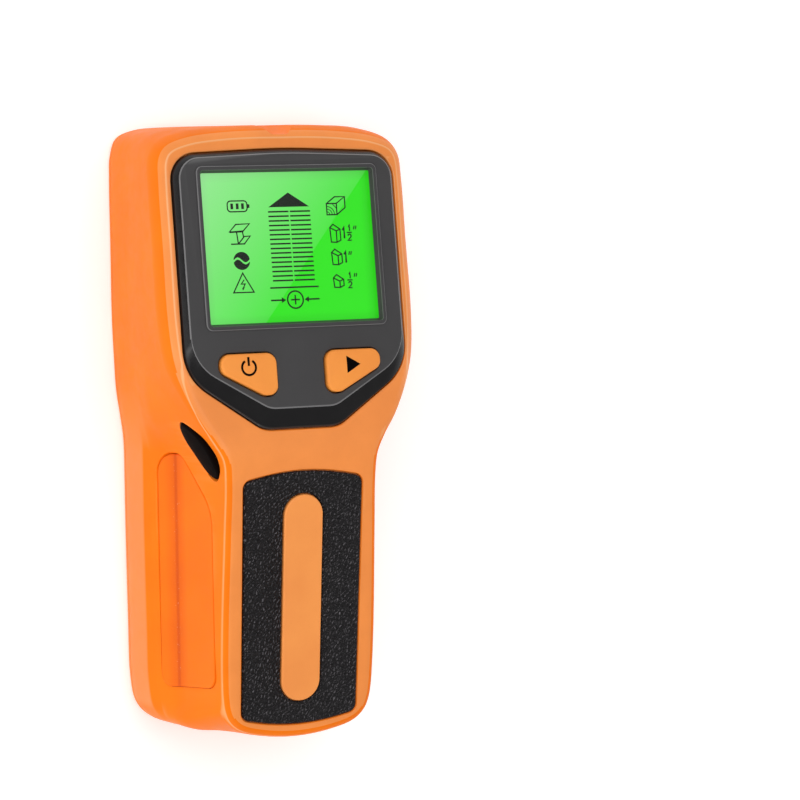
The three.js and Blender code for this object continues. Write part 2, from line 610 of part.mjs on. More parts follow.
function lead(side) {
  const points = [
    [10, 67.8, 14], [10, 71.5, 14.4], [9.6, 75.5, 17], [9.2, 79.5, 22], [9, 84, 26.5], [9, 88, 29.5],
    [9, 92, 31.9],
  ].map(([x, a, z]) => new THREE.Vector3(side * x, along(a), z));
  const circle = new THREE.Path().absarc(0, 0, 0.8, 0, Math.PI * 2);
  const section = new THREE.Shape(circle.getPoints(4).slice(0, -1));
  const extrudePath = new THREE.CatmullRomCurve3(points);
  return new THREE.ExtrudeGeometry(section, { steps: 14, bevelEnabled: false, extrudePath });
}

addPart('battery', battery(), BLACK_PLASTIC);
addPart('snap_connector', block(-12.5, 12.5, 63.8, 67.4, 4, 18), BLACK_PLASTIC);
addPart('red_lead', lead(-1), RED_WIRE);
addPart('black_lead', lead(1), BLACK_PLASTIC);

// ---------------------------------------------------------------- side key
const leafCap = loft([
  { points: LEAF, z: -4.8 },
  { points: LEAF, z: 0.1 },
  { points: grow(LEAF, -0.4), z: 0.5 },
]);
// The key's flange has no room under the strip's edge, so it stops at the key's own edge there.
const FLANGE_LIMIT = 3.2;
const LEAF_FLANGE = grow(LEAF, 0.5).map(({ x, y }) => new THREE.Vector2(x, Math.min(y, FLANGE_LIMIT)));
const leafFlange = solid(prism(LEAF_FLANGE, -4.8, -4.1));
addPart('scan_key', join(solid(leafCap), leafFlange), BLACK_RUBBER, sideKeyGroup);
const sideSwitch = join(
  solid(boxGeometry(-2.6, 2.6, -1.8, 1.8, -8.6, -6.6)),
  solid(post(0, 0, 1, -6.8, -5.9, 10)),
);
addPart('scan_switch', sideSwitch, BLACK_PLASTIC, sideKeyGroup);
addPart('side_board', boxGeometry(-5.5, 5.5, -3, 3, -10.1, -8.9), BOARD_GREEN, sideKeyGroup);

export default root;
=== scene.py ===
"""Looks of a handheld wall scanner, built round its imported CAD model.

Shapes are worked out in millimetres in the part's own frame and become metres when a mesh is
made. +X is to the user's right, +Y points to the sensing head and +Z comes out of the display.
Places along the tool are distances from the bottom end of the handle.
"""
from contextlib import contextmanager
import math

import bmesh
import bpy
import numpy as np
from mathutils import Matrix, Vector


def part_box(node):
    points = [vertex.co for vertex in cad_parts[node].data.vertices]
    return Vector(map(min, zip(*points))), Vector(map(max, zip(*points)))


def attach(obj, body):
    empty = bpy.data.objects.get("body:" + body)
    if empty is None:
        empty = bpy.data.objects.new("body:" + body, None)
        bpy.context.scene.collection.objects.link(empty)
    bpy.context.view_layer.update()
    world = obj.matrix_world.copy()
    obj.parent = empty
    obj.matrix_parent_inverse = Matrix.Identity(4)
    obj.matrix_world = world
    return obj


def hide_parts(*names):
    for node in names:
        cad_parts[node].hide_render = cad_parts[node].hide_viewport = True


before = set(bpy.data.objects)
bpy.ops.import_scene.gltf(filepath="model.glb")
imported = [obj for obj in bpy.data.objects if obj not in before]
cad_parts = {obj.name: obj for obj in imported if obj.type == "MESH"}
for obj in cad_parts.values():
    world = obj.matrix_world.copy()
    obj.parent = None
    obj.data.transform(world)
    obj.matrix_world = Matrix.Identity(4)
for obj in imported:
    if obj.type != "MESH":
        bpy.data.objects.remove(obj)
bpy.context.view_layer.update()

MM = 0.001

# ---- driving dimensions ----
LENGTH = 160.6
RIDGE_ALONG = 74.2
RIDGE_HEIGHT = 46
STRIP_SLOPE = 0.08
HEAD_SLOPE = 0.13
WALL = 2.4
ROOF = 2.4
HEAD_ROOF = 4.8
GAP = 0.3
SEAM_HEIGHT = 3
FLOOR = 2.2
VALLEY_HEIGHT = 23
RIM_HEIGHT = 16.2
# The front face takes a paler copy of the orange, a painted sheen of the light from above, above
# this height, where the surface faces up enough: the least rise on the handle and on the head,
# and how far below the head its value starts to count.
FRONT_LOW = 33
FRONT_RISE = (0.95, 0.6)
FRONT_LEAD = 12

BEZEL_FACE = 2
BEZEL_UNDERSIDE = -2.2
LEDGE = -2.5
SCREEN_HALF = (23.9, 19.1)
SCREEN_ALONG = 128.8
DOOR_HALF = 15
DOOR_FLANGE = 17
DOOR_END = 66
DOOR_THICKNESS = 1.8
DOOR_FLANGE_LOW = 1.0


def along(distance):
    return distance - LENGTH / 2


def smooth(low, high, value):
    share = min(max((value - low) / (high - low), 0), 1)
    return share * share * (3 - 2 * share)


def mix(a, b, share):
    return a + (b - a) * share


# ---- outlines ----
def rounded(corners, steps=8):
    """The points of a closed outline with an arc at each (x, y, radius) corner."""
    points = []
    for index, (x, y, radius) in enumerate(corners):
        here = Vector((x, y))
        before = (Vector(corners[index - 1][:2]) - here).normalized()
        after = (Vector(corners[(index + 1) % len(corners)][:2]) - here).normalized()
        half = math.acos(min(max(before.dot(after), -1), 1)) / 2
        if radius == 0 or math.pi / 2 - half < 0.02:
            points.append(here)
            continue
        reach = radius / math.tan(half)
        centre = here + (before + after).normalized() * radius / math.sin(half)
        start = here + before * reach - centre
        end = here + after * reach - centre
        turn = math.atan2(start.x * end.y - start.y * end.x, start.dot(end))
        for step in range(steps + 1):
            points.append(centre + Matrix.Rotation(turn * step / steps, 2) @ start)
    return points


def grow(points, distance):
    """Moves every point of a counter-clockwise outline outwards by the same distance."""
    if distance == 0:
        return list(points)
    moved = []
    for index, point in enumerate(points):
        before = point - points[index - 1]
        after = points[(index + 1) % len(points)] - point
        normal_in = Vector((before.y, -before.x)).normalized()
        normal_out = Vector((after.y, -after.x)).normalized()
        middle = (normal_in + normal_out).normalized()
        moved.append(point + middle * distance / middle.dot(normal_out))
    return moved


def shrink(points, share):
    """Moves every point a share of the way to the outline's middle."""
    centre = sum(points, Vector((0, 0))) / len(points)
    return [point.lerp(centre, share) for point in points]


def circle(radius, count=32, x=0, y=0):
    turns = [2 * math.pi * index / count for index in range(count)]
    return [Vector((x + radius * math.cos(t), y + radius * math.sin(t))) for t in turns]


def curve_through(keys, steps):
    """A closed centripetal Catmull-Rom curve through the keys, with the same steps after each."""
    keys = [Vector(key) for key in keys]
    points = []
    for index in range(len(keys)):
        p0, p1, p2, p3 = (keys[(index + k) % len(keys)] for k in (-1, 0, 1, 2))
        d0, d1, d2 = (math.sqrt((b - a).length) for a, b in ((p0, p1), (p1, p2), (p2, p3)))
        t1 = ((p1 - p0) / d0 - (p2 - p0) / (d0 + d1) + (p2 - p1) / d1) * d1
        t2 = ((p2 - p1) / d1 - (p3 - p1) / (d1 + d2) + (p3 - p2) / d2) * d1
        for step in range(steps):
            t = step / steps
            cubic = (2 * p1 - 2 * p2 + t1 + t2) * t ** 3
            square = (3 * p2 - 3 * p1 - 2 * t1 - t2) * t ** 2
            points.append(p1 + t1 * t + square + cubic)
    return points


# ---- meshes ----
def new_object(name, points, faces, place=None):
    """An object at the origin whose mesh holds these millimetre points, in metres."""
    place = place or Matrix.Identity(4)
    mesh = bpy.data.meshes.new(name)
    mesh.from_pydata([(place @ Vector(p)) * MM for p in points], [], faces)
    obj = bpy.data.objects.new(name, mesh)
    bpy.context.scene.collection.objects.link(obj)
    return obj


def ring_faces(rings, count):
    faces = []
    for ring in range(rings - 1):
        low = ring * count
        high = low + count
        for index in range(count):
            after = (index + 1) % count
            faces.append((low + index, low + after, high + after, high + index))
    return faces


def loft(name, sections, place=None):
    """A closed solid through matching (outline, height) sections, from the lowest up."""
    count = len(sections[0][0])
    points = [(p.x, p.y, z) for outline, z in sections for p in outline]
    faces = ring_faces(len(sections), count)
    faces.append(tuple(range(count))[::-1])
    faces.append(tuple(range(len(points) - count, len(points))))
    return new_object(name, points, faces, place)


def prism(name, outline, low, high, place=None):
    return loft(name, [(outline, low), (outline, high)], place)


def block(name, x0, x1, a0, a1, z0, z1):
    outline = [Vector((x0, a0)), Vector((x1, a0)), Vector((x1, a1)), Vector((x0, a1))]
    return prism(name, [Vector((p.x, along(p.y))) for p in outline], z0, z1)


def rounded_sections(outline, base, top, radius, steps=5):
    """Sections of an upright wall that ends in a rounded edge."""
    sections = [(outline, base)]
    for step in range(steps + 1):
        turn = math.pi / 2 * step / steps
        inset = radius * (1 - math.cos(turn))
        sections.append((grow(outline, -inset), top - radius * (1 - math.sin(turn))))
    return sections


def domed_sections(outline, base, top, radius, crown, rings=5):
    """Rounded sections whose face rises by the crown to its middle."""
    sections = rounded_sections(outline, base, top, radius)
    face = sections[-1][0]
    for ring in range(1, rings + 1):
        share = 0.92 * ring / rings
        sections.append((shrink(face, share), top + crown * (1 - (1 - share) ** 2)))
    return sections


def pocket_sections(outline, depth, mouth, steps=4):
    """A cutter for a pocket in the plane z = 0 whose mouth is rounded over."""
    sections = [(outline, depth)]
    for step in range(steps + 1):
        turn = math.pi / 2 * step / steps
        sections.append((grow(outline, mouth * (1 - math.cos(turn))), mouth * (math.sin(turn) - 1)))
    sections.append((grow(outline, mouth * 1.05), 8))
    return sections


def combine(target, operation, *tools):
    """Applies boolean operations to an object and deletes the tools."""
    for tool in tools:
        modifier = target.modifiers.new("step", "BOOLEAN")
        modifier.object = tool
        modifier.operation = operation
        modifier.solver = "MANIFOLD"
    graph = bpy.context.evaluated_depsgraph_get()
    mesh = bpy.data.meshes.new_from_object(target.evaluated_get(graph))
    target.modifiers.clear()
    target.data = mesh
    for tool in tools:
        bpy.data.objects.remove(tool)
    return target


def cut(target, *tools):
    return combine(target, "DIFFERENCE", *tools)


def join(target, *tools):
    return combine(target, "UNION", *tools)


@contextmanager
def editing(obj):
    """Opens an object's mesh for editing, and puts it back afterwards."""
    mesh = bmesh.new()
    mesh.from_mesh(obj.data)
    yield mesh
    mesh.to_mesh(obj.data)
    mesh.free()


def clip(obj, height, keep_above):
    """Cuts an object off at a height, in millimetres, and closes it there."""
    with editing(obj) as mesh:
        result = bmesh.ops.bisect_plane(
            mesh,
            geom=mesh.verts[:] + mesh.edges[:] + mesh.faces[:],
            plane_co=(0, 0, height * MM),
            plane_no=(0, 0, 1),
            clear_inner=keep_above,
            clear_outer=not keep_above,
        )
        rim = [item for item in result["geom_cut"] if isinstance(item, bmesh.types.BMEdge)]
        bmesh.ops.edgenet_fill(mesh, edges=rim)
        bmesh.ops.recalc_face_normals(mesh, faces=mesh.faces[:])
    return obj


def face_outwards(obj):
    with editing(obj) as mesh:
        bmesh.ops.recalc_face_normals(mesh, faces=mesh.faces[:])
    return obj


def shade(obj, limit):
    """Smooth shading that keeps edges sharper than the limit, in degrees, and flat faces flat."""
    with editing(obj) as mesh:
        bmesh.ops.remove_doubles(mesh, verts=mesh.verts[:], dist=0.002 * MM)
        for face in mesh.faces:
            face.smooth = True
        for edge in mesh.edges:
            edge.smooth = len(edge.link_faces) == 2 and edge.calc_face_angle(0) < math.radians(limit)
    even = obj.modifiers.new("even_shading", "WEIGHTED_NORMAL")
    even.keep_sharp = True
    return obj


# ---- outer form of the housing ----
def strip_height(a):
    return RIDGE_HEIGHT - STRIP_SLOPE * (RIDGE_ALONG - a)


def head_height(a):
    return RIDGE_HEIGHT - HEAD_SLOPE * (a - RIDGE_ALONG)


def top_height(a):
    return min(strip_height(a), head_height(a))


def headness(a):
    return smooth(84, 104, a)


# Right half of the plan, from the bottom centre round to the top centre, as (x, along).
# BASE is the widest outline: wings, waist and head. STRIP is the edge of the raised front.
BASE = [
    (0, 0.4), (9.2, 0.4), (16.6, 0.5), (22, 1.1), (27.4, 3.2), (30.6, 7.2), (31.9, 14),
    (32.2, 30), (32.4, 55), (32.4, 69), (32.4, 74.5), (32.6, 79), (33.3, 84), (34.7, 91),
    (35.9, 99), (36.5, 110), (36.5, 130), (36.5, 146), (36.1, 153), (33.6, 157.6),
    (27.2, 159.8), (17, 160.5), (8, 160.6), (0, 160.6),
]
STRIP = [
    (0, 0), (9.2, 0.8), (16.8, 2.9), (19.9, 5.6), (21.2, 8.5), (21.8, 12), (22.1, 17),
    (22.3, 30), (22, 55), (21.9, 69), (22.5, 74.5), (24.9, 79), (28.3, 84), (32.1, 91),
    (35.2, 99), (36.4, 110), (36.4, 130), (36.4, 146), (35.8, 152.8), (33.1, 156.6),
    (26.7, 159), (17, 160.2), (8, 160.6), (0, 160.6),
]
# Levels from the back up to the front face: plan, inset on the handle and on the head, whether
# the inset belongs to the wing only, reach of the rounding there, and height.
LEVELS = [
    (BASE, (1.5, 3), False, 0.0, lambda a: 0),
    (BASE, (0.4, 1.8), False, 0.8, lambda a: 1.4),
    (BASE, (0, 1.5), False, 1.5, lambda a: 6),
    (BASE, (0.3, 1.3), False, 0.6, lambda a: RIM_HEIGHT - 2),
    (BASE, (1.8, 1.2), True, 0.6, lambda a: RIM_HEIGHT),
    (BASE, (6.1, 0.7), True, 2.2, lambda a: VALLEY_HEIGHT),
    (STRIP, (0, 0), False, 1.4, lambda a: top_height(a) - 1.9 - 2.4 * headness(a)),
    (STRIP, (0.6, 1.3), False, 1.2, lambda a: top_height(a) - 0.6 - 0.6 * headness(a)),
    (STRIP, (1.9, 3.2), False, 0.6, top_height),
    (STRIP, (3.2, 4.6), False, 0.0, top_height),
]


def wing_share(a):
    """How much of a wing level's inset applies: all of it along the grip, none at its ends."""
    return smooth(1.5, 9, a) * (1 - smooth(72, 85, a))


def end_share(a):
    """The share of a level's inset that counts along the tool: the head's end wall is upright."""
    return 1 - smooth(120, 152, a)


def inset_key(plan, index, inset, wall):
    x, a = plan[index]
    lengthways = (inset * end_share(a) if plan is BASE else inset) + wall
    if index == 0:
        return x, a + lengthways
    if index == len(plan) - 1:
        return x, a - lengthways
    before, after = plan[index - 1], plan[index + 1]
    normal = Vector((after[1] - before[1], before[0] - after[0])).normalized()
    return x - normal.x * (inset + wall), a - normal.y * lengthways


def level_inset(inset, on_wing, a):
    handle, head = inset
    if not on_wing:
        return mix(handle, head, headness(a))
    return mix(mix(0.4, head, headness(a)), handle, wing_share(a))


def level_ring(level, wall, roof, steps):
    plan, inset, on_wing, _, height = level
    keys = []
    for index, (_, a) in enumerate(plan):
        x, place = inset_key(plan, index, level_inset(inset, on_wing, a), wall)
        drop = roof(place) if plan is STRIP else 0
        keys.append(Vector((x, along(place), height(place) - drop)))
    left = [Vector((-key.x, key.y, key.z)) for key in keys[-2:0:-1]]
    return curve_through(keys + left, steps)


def round_profile(rings, reaches, steps):
    """Rounds the corner at each inner ring, so the walls turn smoothly from level to level."""
    rings = np.array([[tuple(point) for point in ring] for ring in rings])
    result = [rings[0]]
    for index in range(1, len(rings) - 1):
        here = rings[index]
        down = rings[index - 1] - here
        up = rings[index + 1] - here
        down_length = np.linalg.norm(down, axis=1, keepdims=True)
        up_length = np.linalg.norm(up, axis=1, keepdims=True)
        reach = np.minimum(reaches[index], 0.48 * np.minimum(down_length, up_length))
        start = here + down / down_length * reach
        end = here + up / up_length * reach
        for step in range(steps + 1):
            t = step / steps
            result.append((1 - t) ** 2 * start + 2 * t * (1 - t) * here + t ** 2 * end)
    result.append(rings[-1])
    return result


def housing_form(name, wall=0, roof=lambda a: 0, steps=5, round_steps=4):
    rings = [level_ring(level, wall, roof, steps) for level in LEVELS]
    rings = round_profile(rings, [level[3] for level in LEVELS], round_steps)
    count = len(rings[0])
    half = count // 2
    faces = ring_faces(len(rings), count)
    for base, flip in ((0, True), ((len(rings) - 1) * count, False)):
        for index in range(half):
            face = [base + index, base + index + 1, base + count - index - 1]
            if index > 0:
                face.append(base + count - index)
            if index == half - 1:
                face.remove(base + count - index - 1)
            faces.append(tuple(face[::-1] if flip else face))
    return new_object(name, np.concatenate(rings), faces)


def roof_at(a):
    return ROOF + (HEAD_ROOF - ROOF) * smooth(74, 84, a)


# ---- the tilted planes ----
HEAD_TILT = -math.atan(HEAD_SLOPE)
STRIP_TILT = math.atan(STRIP_SLOPE)
HEAD_START = 106
STRIP_START = 40


def tilted(start, height, tilt):
    return Matrix.Translation((0, along(start), height)) @ Matrix.Rotation(tilt, 4, "X")


HEAD = tilted(HEAD_START, head_height(HEAD_START), HEAD_TILT)
HANDLE = tilted(STRIP_START, strip_height(STRIP_START), STRIP_TILT)


def up_head(a):
    return (a - HEAD_START) / math.cos(HEAD_TILT)


def up_strip(a):
    return (a - STRIP_START) / math.cos(STRIP_TILT)


def head_outline(corners, steps=8):
    return rounded([(x, up_head(a), radius) for x, a, radius in corners], steps)


def strip_outline(corners, steps=8):
    return rounded([(x, up_strip(a), radius) for x, a, radius in corners], steps)


def mirrored(right_half):
    left = [(-x, a, radius) for x, a, radius in reversed(right_half) if x > 0]
    return right_half + left


def rectangle(half, a0, a1, radius):
    return [(-half, a0, radius), (half, a0, radius), (half, a1, radius), (-half, a1, radius)]


def screen_outline(by, radius):
    half, half_up = SCREEN_HALF
    low, high = SCREEN_ALONG - half_up - by, SCREEN_ALONG + half_up + by
    return head_outline(rectangle(half + by, low, high, radius), 6)


BEZEL_OUTER = head_outline(mirrored([
    (10.8, 82.1, 8), (31.7, 96.3, 13), (31.7, 153.2, 7), (0, 154.4, 200),
]))
BEZEL_INNER = head_outline(mirrored([
    (9.4, 87.5, 7), (30.2, 99.5, 12), (30.2, 151.8, 5.5), (0, 153, 200),
]))
KEY_RIGHT = head_outline([
    (7.1, 90.7, 2.5), (11, 90.7, 3), (22.9, 96.9, 2.5), (22.9, 101.6, 2.7), (7.1, 101.6, 2.8),
])
KEY_LEFT = [Vector((-point.x, point.y)) for point in reversed(KEY_RIGHT)]
PAD = strip_outline(mirrored([(0, 2.7, 60), (16.4, 6, 2.2), (16.9, 68.6, 2.2), (0, 71.9, 60)]))
PILL = strip_outline(rectangle(5.55, 10, 64.7, 5.5), 12)

# ---- the side key's frame ----
SIDE_KEY_PLACE = Vector((-26, along(76.8), 38))


def side_key_frame():
    out = Vector((-0.89, -0.42, 0.17)).normalized()
    across = out.cross(Vector((0.42, -0.854, 0.305))).normalized()
    run = across.cross(out)
    turned = Matrix((run, across, out)).transposed().to_4x4()
    return Matrix.Translation(SIDE_KEY_PLACE) @ turned


SIDE_KEY = side_key_frame()
LEAF_KEYS = [
    (-8.6, 0.2), (-7.6, -1.7), (-4.2, -2.9), (0, -2.9), (4.1, -2.8), (6.9, -2.1),
    (8.7, -0.1), (7.3, 2.1), (4.7, 3.1), (1.3, 3.8), (-2.4, 3.8), (-6.1, 2.4),
]
LEAF = [point.to_2d() for point in curve_through([(x, y, 0) for x, y in LEAF_KEYS], 5)]

# ---- the side grips ----
# The section runs from the wing's rim over the valley to the strip's wall, as (x, height).
GRIP_SECTION = [(29.3, RIM_HEIGHT + 1.9), (26.2, VALLEY_HEIGHT + 0.1), (23.1, 37)]
GRIP_DEPTH = 1.2
GRIP_RUN = (13, 75)
VALLEY_ROUNDING = 2.2

# ---- materials ----
def set_socket(tree, socket, value):
    """Links a socket to another socket, or gives it a constant value."""
    if isinstance(value, bpy.types.NodeSocket):
        tree.links.new(value, socket)
    else:
        socket.default_value = value


def add_node(tree, kind, inputs=None, **settings):
    """A shader node with these inputs and settings."""
    node = tree.nodes.new("ShaderNode" + kind)
    for key, value in settings.items():
        setattr(node, key, value)
    for key, value in (inputs or {}).items():
        set_socket(tree, node.inputs[key], value)
    return node


def new_material(name):
    """A material, its node tree and its object coordinates."""
    material = bpy.data.materials.new(name)
    material.use_nodes = True
    tree = material.node_tree
    return material, tree, add_node(tree, "TexCoord").outputs["Object"]


def dress(material, values):
    """Links or sets these sockets of the material's shader."""
    tree = material.node_tree
    for key, value in values.items():
        set_socket(tree, tree.nodes["Principled BSDF"].inputs[key], value)
    return material


def reopen(material):
    """The node tree, the coordinates and the present colour of a material that goes on."""
    tree = material.node_tree
    colour = tree.nodes["Principled BSDF"].inputs["Base Color"].links[0].from_socket
    return tree, add_node(tree, "TexCoord").outputs, colour


def maths(tree, operation, *values):
    return add_node(tree, "Math", dict(enumerate(values)), operation=operation).outputs[0]


def product(tree, first, *others):
    for other in others:
        first = maths(tree, "MULTIPLY", first, other)
    return first


def vector_maths(tree, operation, *values, result="Vector"):
    node = add_node(tree, "VectorMath", dict(enumerate(values)), operation=operation)
    return node.outputs[result]


def split(tree, vector):
    """The X, Y and Z sockets of a vector."""
    return add_node(tree, "SeparateXYZ", {"Vector": vector}).outputs


def noise(tree, place, size, detail=2.0, roughness=0.5):
    """Noise whose features are about this size, in millimetres."""
    inputs = {"Vector": place, "Scale": 1 / (size * MM), "Detail": detail, "Roughness": roughness}
    return add_node(tree, "TexNoise", inputs).outputs["Fac"]


def remap(tree, value, low, high, to_low, to_high):
    inputs = {"Value": value, "From Min": low, "From Max": high, "To Min": to_low, "To Max": to_high}
    return add_node(tree, "MapRange", inputs).outputs["Result"]


def blend(tree, share, first, second):
    node = add_node(tree, "Mix", data_type="RGBA")
    sockets = {socket.identifier: socket for socket in node.inputs}
    for name, value in (("Factor_Float", share), ("A_Color", first), ("B_Color", second)):
        set_socket(tree, sockets[name], value)
    return next(socket for socket in node.outputs if socket.identifier == "Result_Color")


def bump(tree, height, depth, under=None):
    """A bump of this depth, in millimetres, on top of another bump's normal."""
    inputs = {"Height": height, "Distance": depth * MM, "Strength": 1.0}
    if under is not None:
        inputs["Normal"] = under
    return add_node(tree, "Bump", inputs).outputs["Normal"]


def linear(red, green, blue):
    """An sRGB colour, 0 to 255, as the linear colour a shader takes."""
    shares = [value / 255 for value in (red, green, blue)]
    return (*[s / 12.92 if s <= 0.04045 else ((s + 0.055) / 1.055) ** 2.4 for s in shares], 1)


def shifted(colour, gain):
    return (*[min(value * gain, 1) for value in colour[:3]], 1)


def moulded(name, colour, roughness, grain=0.25, grain_depth=0.012, specular=0.5, coat=0.0, wear=None):
    """Moulded plastic: fine grain, slow waviness, uneven gloss and a painted highlight along convex edges.
    """
    material, tree, place = new_material(name)
    patches = remap(tree, noise(tree, place, 14, 3), 0.35, 0.65, 0, 1)
    tinted = blend(tree, patches, shifted(colour, 0.95), shifted(colour, 1.05))
    flecks = remap(tree, noise(tree, place, 0.5, 2), 0.55, 0.75, 0, 0.1)
    tinted = blend(tree, flecks, tinted, shifted(colour, 0.8))
    # Convex edges are painted paler: a painted highlight along them.
    edges = add_node(tree, "NewGeometry").outputs["Pointiness"]
    edge_highlight_share = remap(tree, edges, 0.53, 0.6, 0, 0.35)
    gloss = noise(tree, place, 3.5, 4, 0.6)
    waves = bump(tree, noise(tree, place, 9, 1), 0.02)
    return dress(material, {
        "Base Color": blend(tree, edge_highlight_share, tinted, wear or shifted(colour, 1.35)),
        "Roughness": remap(tree, gloss, 0.3, 0.7, roughness - 0.05, roughness + 0.07),
        "Normal": bump(tree, noise(tree, place, grain, 2), grain_depth, waves),
        "Specular IOR Level": specular,
        "Coat Weight": coat,
        "Coat Roughness": 0.12,
    })


# The painted highlight along the front face's rounded edge, a paler line: the upward slant of the
# surface where it lies, its spread in slant to both sides, both on the handle and on the head,
# where along the tool the one becomes the other, and how far under the front it fades out.
HIGHLIGHT_SLANT = (0.45, 0.93)
HIGHLIGHT_SPREAD = (0.11, 0.05)
HIGHLIGHT_CHANGE = (80, 100)
HIGHLIGHT_FADE = (2.2, 3)
# The painted sheen that makes the wings' outer side paler: how far sideways its surface faces,
# where along the tool it fades out, and over what height above the rim.
WING_SHEEN_FACING = (0.86, 0.96)
WING_SHEEN_FADE = (72, 95)
WING_SHEEN_RISE = 2


def housing_plastic(name, colour, *finish, **finishes):
    """Moulded plastic with a painted highlight along the front face's rounded edge and a painted sheen on
    the wings' outer side.
    """
    material = moulded(name, colour, *finish, **finishes)
    tree, coordinates, plain = reopen(material)
    _, y, z = split(tree, coordinates["Object"])
    facing_x, _, facing_z = split(tree, coordinates["Normal"])
    change = [along(a) * MM for a in HIGHLIGHT_CHANGE]
    off_line = maths(tree, "SUBTRACT", facing_z, remap(tree, y, *change, *HIGHLIGHT_SLANT))
    spread = remap(tree, y, *change, *HIGHLIGHT_SPREAD)
    line = remap(tree, maths(tree, "DIVIDE", maths(tree, "ABSOLUTE", off_line), spread), 0.3, 1, 0.42, 0)
    tops = []
    for slope in (STRIP_SLOPE, -HEAD_SLOPE):
        level = RIDGE_HEIGHT - slope * along(RIDGE_ALONG)
        tops.append(maths(tree, "MULTIPLY_ADD", y, slope, level * MM))
    under = maths(tree, "SUBTRACT", maths(tree, "MINIMUM", *tops), z)
    high = remap(tree, under, *(depth * MM for depth in HIGHLIGHT_FADE), 1, 0)
    # The paler line on the front face's rounded edge is a painted highlight.
    pale = blend(tree, product(tree, line, high), plain, linear(255, 214, 160))
    # The wings' sideways-facing outer sides are painted paler: a painted sheen.
    sideways = remap(tree, maths(tree, "ABSOLUTE", facing_x), *WING_SHEEN_FACING, 0, 1)
    on_handle = remap(tree, y, *(along(a) * MM for a in WING_SHEEN_FADE), 0.55, 0)
    on_wing = remap(tree, z, RIM_HEIGHT * MM, (RIM_HEIGHT + WING_SHEEN_RISE) * MM, 1, 0)
    wing_sheen = product(tree, sideways, on_handle, on_wing)
    return dress(material, {"Base Color": blend(tree, wing_sheen, pale, linear(255, 152, 92))})


def grip_rubber(name, colour, *finish, **finishes):
    """Soft moulded rubber with painted shade darkening it towards the valley's crease, and painted glints
    along the crease.
    """
    material = moulded(name, colour, *finish, **finishes)
    tree, coordinates, plain = reopen(material)
    place = coordinates["Object"]
    x, _, z = split(tree, place)
    point = add_node(tree, "CombineXYZ", {"X": maths(tree, "ABSOLUTE", x), "Z": z}).outputs[0]
    across, height = GRIP_SECTION[1]
    reach = vector_maths(tree, "DISTANCE", point, (across * MM, 0, height * MM), result="Value")
    # Painted shade: the rubber darkens towards the valley's crease.
    soft = remap(tree, reach, 0.2 * MM, 4 * MM, 0.35, 0)
    crease = remap(tree, reach, 0.35 * MM, 0.8 * MM, 0.22, 0)
    crease_shaded = blend(tree, maths(tree, "ADD", soft, crease), plain, linear(190, 46, 6))
    # Painted glints: small paler spots near the crease.
    spark = remap(tree, noise(tree, place, 0.5, 2), 0.66, 0.74, 0, 0.5)
    glints = product(tree, spark, remap(tree, reach, 0.2 * MM, 1.6 * MM, 1, 0))
    return dress(material, {"Base Color": blend(tree, glints, crease_shaded, linear(255, 205, 160))})


# The leather grain, in millimetres: the size of a pebble, how far its outline wanders and the
# step to its side with the painted highlight. The wandering itself has this many features to the
# metre.
PEBBLE_SIZE = 1.0
PEBBLE_WANDER = 0.9
HIGHLIGHT_STEP = (-0.14, 0.08, 0)
WANDER_SCALE = 700


def leather(name, colour, glint):
    """Black rubber moulded with a leather grain: soft pebbles, each with a painted highlight on one side."""
    material, tree, place = new_material(name)
    wander = add_node(tree, "TexNoise", {"Vector": place, "Scale": WANDER_SCALE, "Detail": 2.0})
    pushed = vector_maths(tree, "MULTIPLY", wander.outputs["Color"], (PEBBLE_WANDER * MM,) * 3)
    bent = vector_maths(tree, "ADD", place, pushed)

    def pebble_rise(point):
        inputs = {"Vector": point, "Scale": 1 / (PEBBLE_SIZE * MM)}
        cells = add_node(tree, "TexVoronoi", inputs, feature="DISTANCE_TO_EDGE")
        return remap(tree, cells.outputs["Distance"], 0, 0.32, 0, 1)

    pebbles = pebble_rise(bent)
    beside = pebble_rise(vector_maths(tree, "ADD", bent, [step * MM for step in HIGHLIGHT_STEP]))
    # Each pebble's one side is painted paler: a painted highlight, as if lit from that side.
    highlight_side = remap(tree, maths(tree, "SUBTRACT", pebbles, beside), 0.12, 0.5, 0, 1)
    patches = remap(tree, noise(tree, place, 1.1, 2), 0.38, 0.6, 0.2, 1)
    tinted = blend(tree, noise(tree, place, 6, 3), shifted(colour, 0.8), shifted(colour, 1.3))
    return dress(material, {
        "Base Color": blend(tree, product(tree, highlight_side, patches), tinted, glint),
        "Roughness": remap(tree, pebbles, 0, 1, 0.55, 0.4),
        "Normal": bump(tree, pebbles, 0.5, bump(tree, noise(tree, place, 0.35, 3), 0.008)),
        "Specular IOR Level": 0.25,
    })


def brushed_metal(name, colour, roughness):
    material, tree, place = new_material(name)
    stretched = add_node(tree, "Mapping", {"Vector": place, "Scale": (1, 14, 1)}).outputs[0]
    lines = noise(tree, stretched, 1.2, 4, 0.7)
    return dress(material, {
        "Base Color": blend(tree, lines, shifted(colour, 0.8), shifted(colour, 1.1)),
        "Roughness": remap(tree, lines, 0.3, 0.7, roughness - 0.08, roughness + 0.12),
        "Normal": bump(tree, lines, 0.01),
        "Metallic": 1,
    })


def circuit_board(name, colour):
    """Green lacquer over rows of tracks, with brighter lines between them."""
    material, tree, place = new_material(name)
    brick = add_node(tree, "TexBrick", {
        "Vector": place, "Scale": 1 / (4 * MM), "Color1": shifted(colour, 1.0),
        "Color2": shifted(colour, 1.3), "Mortar": shifted(colour, 1.9), "Mortar Size": 0.05,
    })
    return dress(material, {
        "Base Color": brick.outputs["Color"],
        "Roughness": remap(tree, noise(tree, place, 2), 0, 1, 0.25, 0.45),
        "Normal": bump(tree, brick.outputs["Fac"], 0.03),
    })


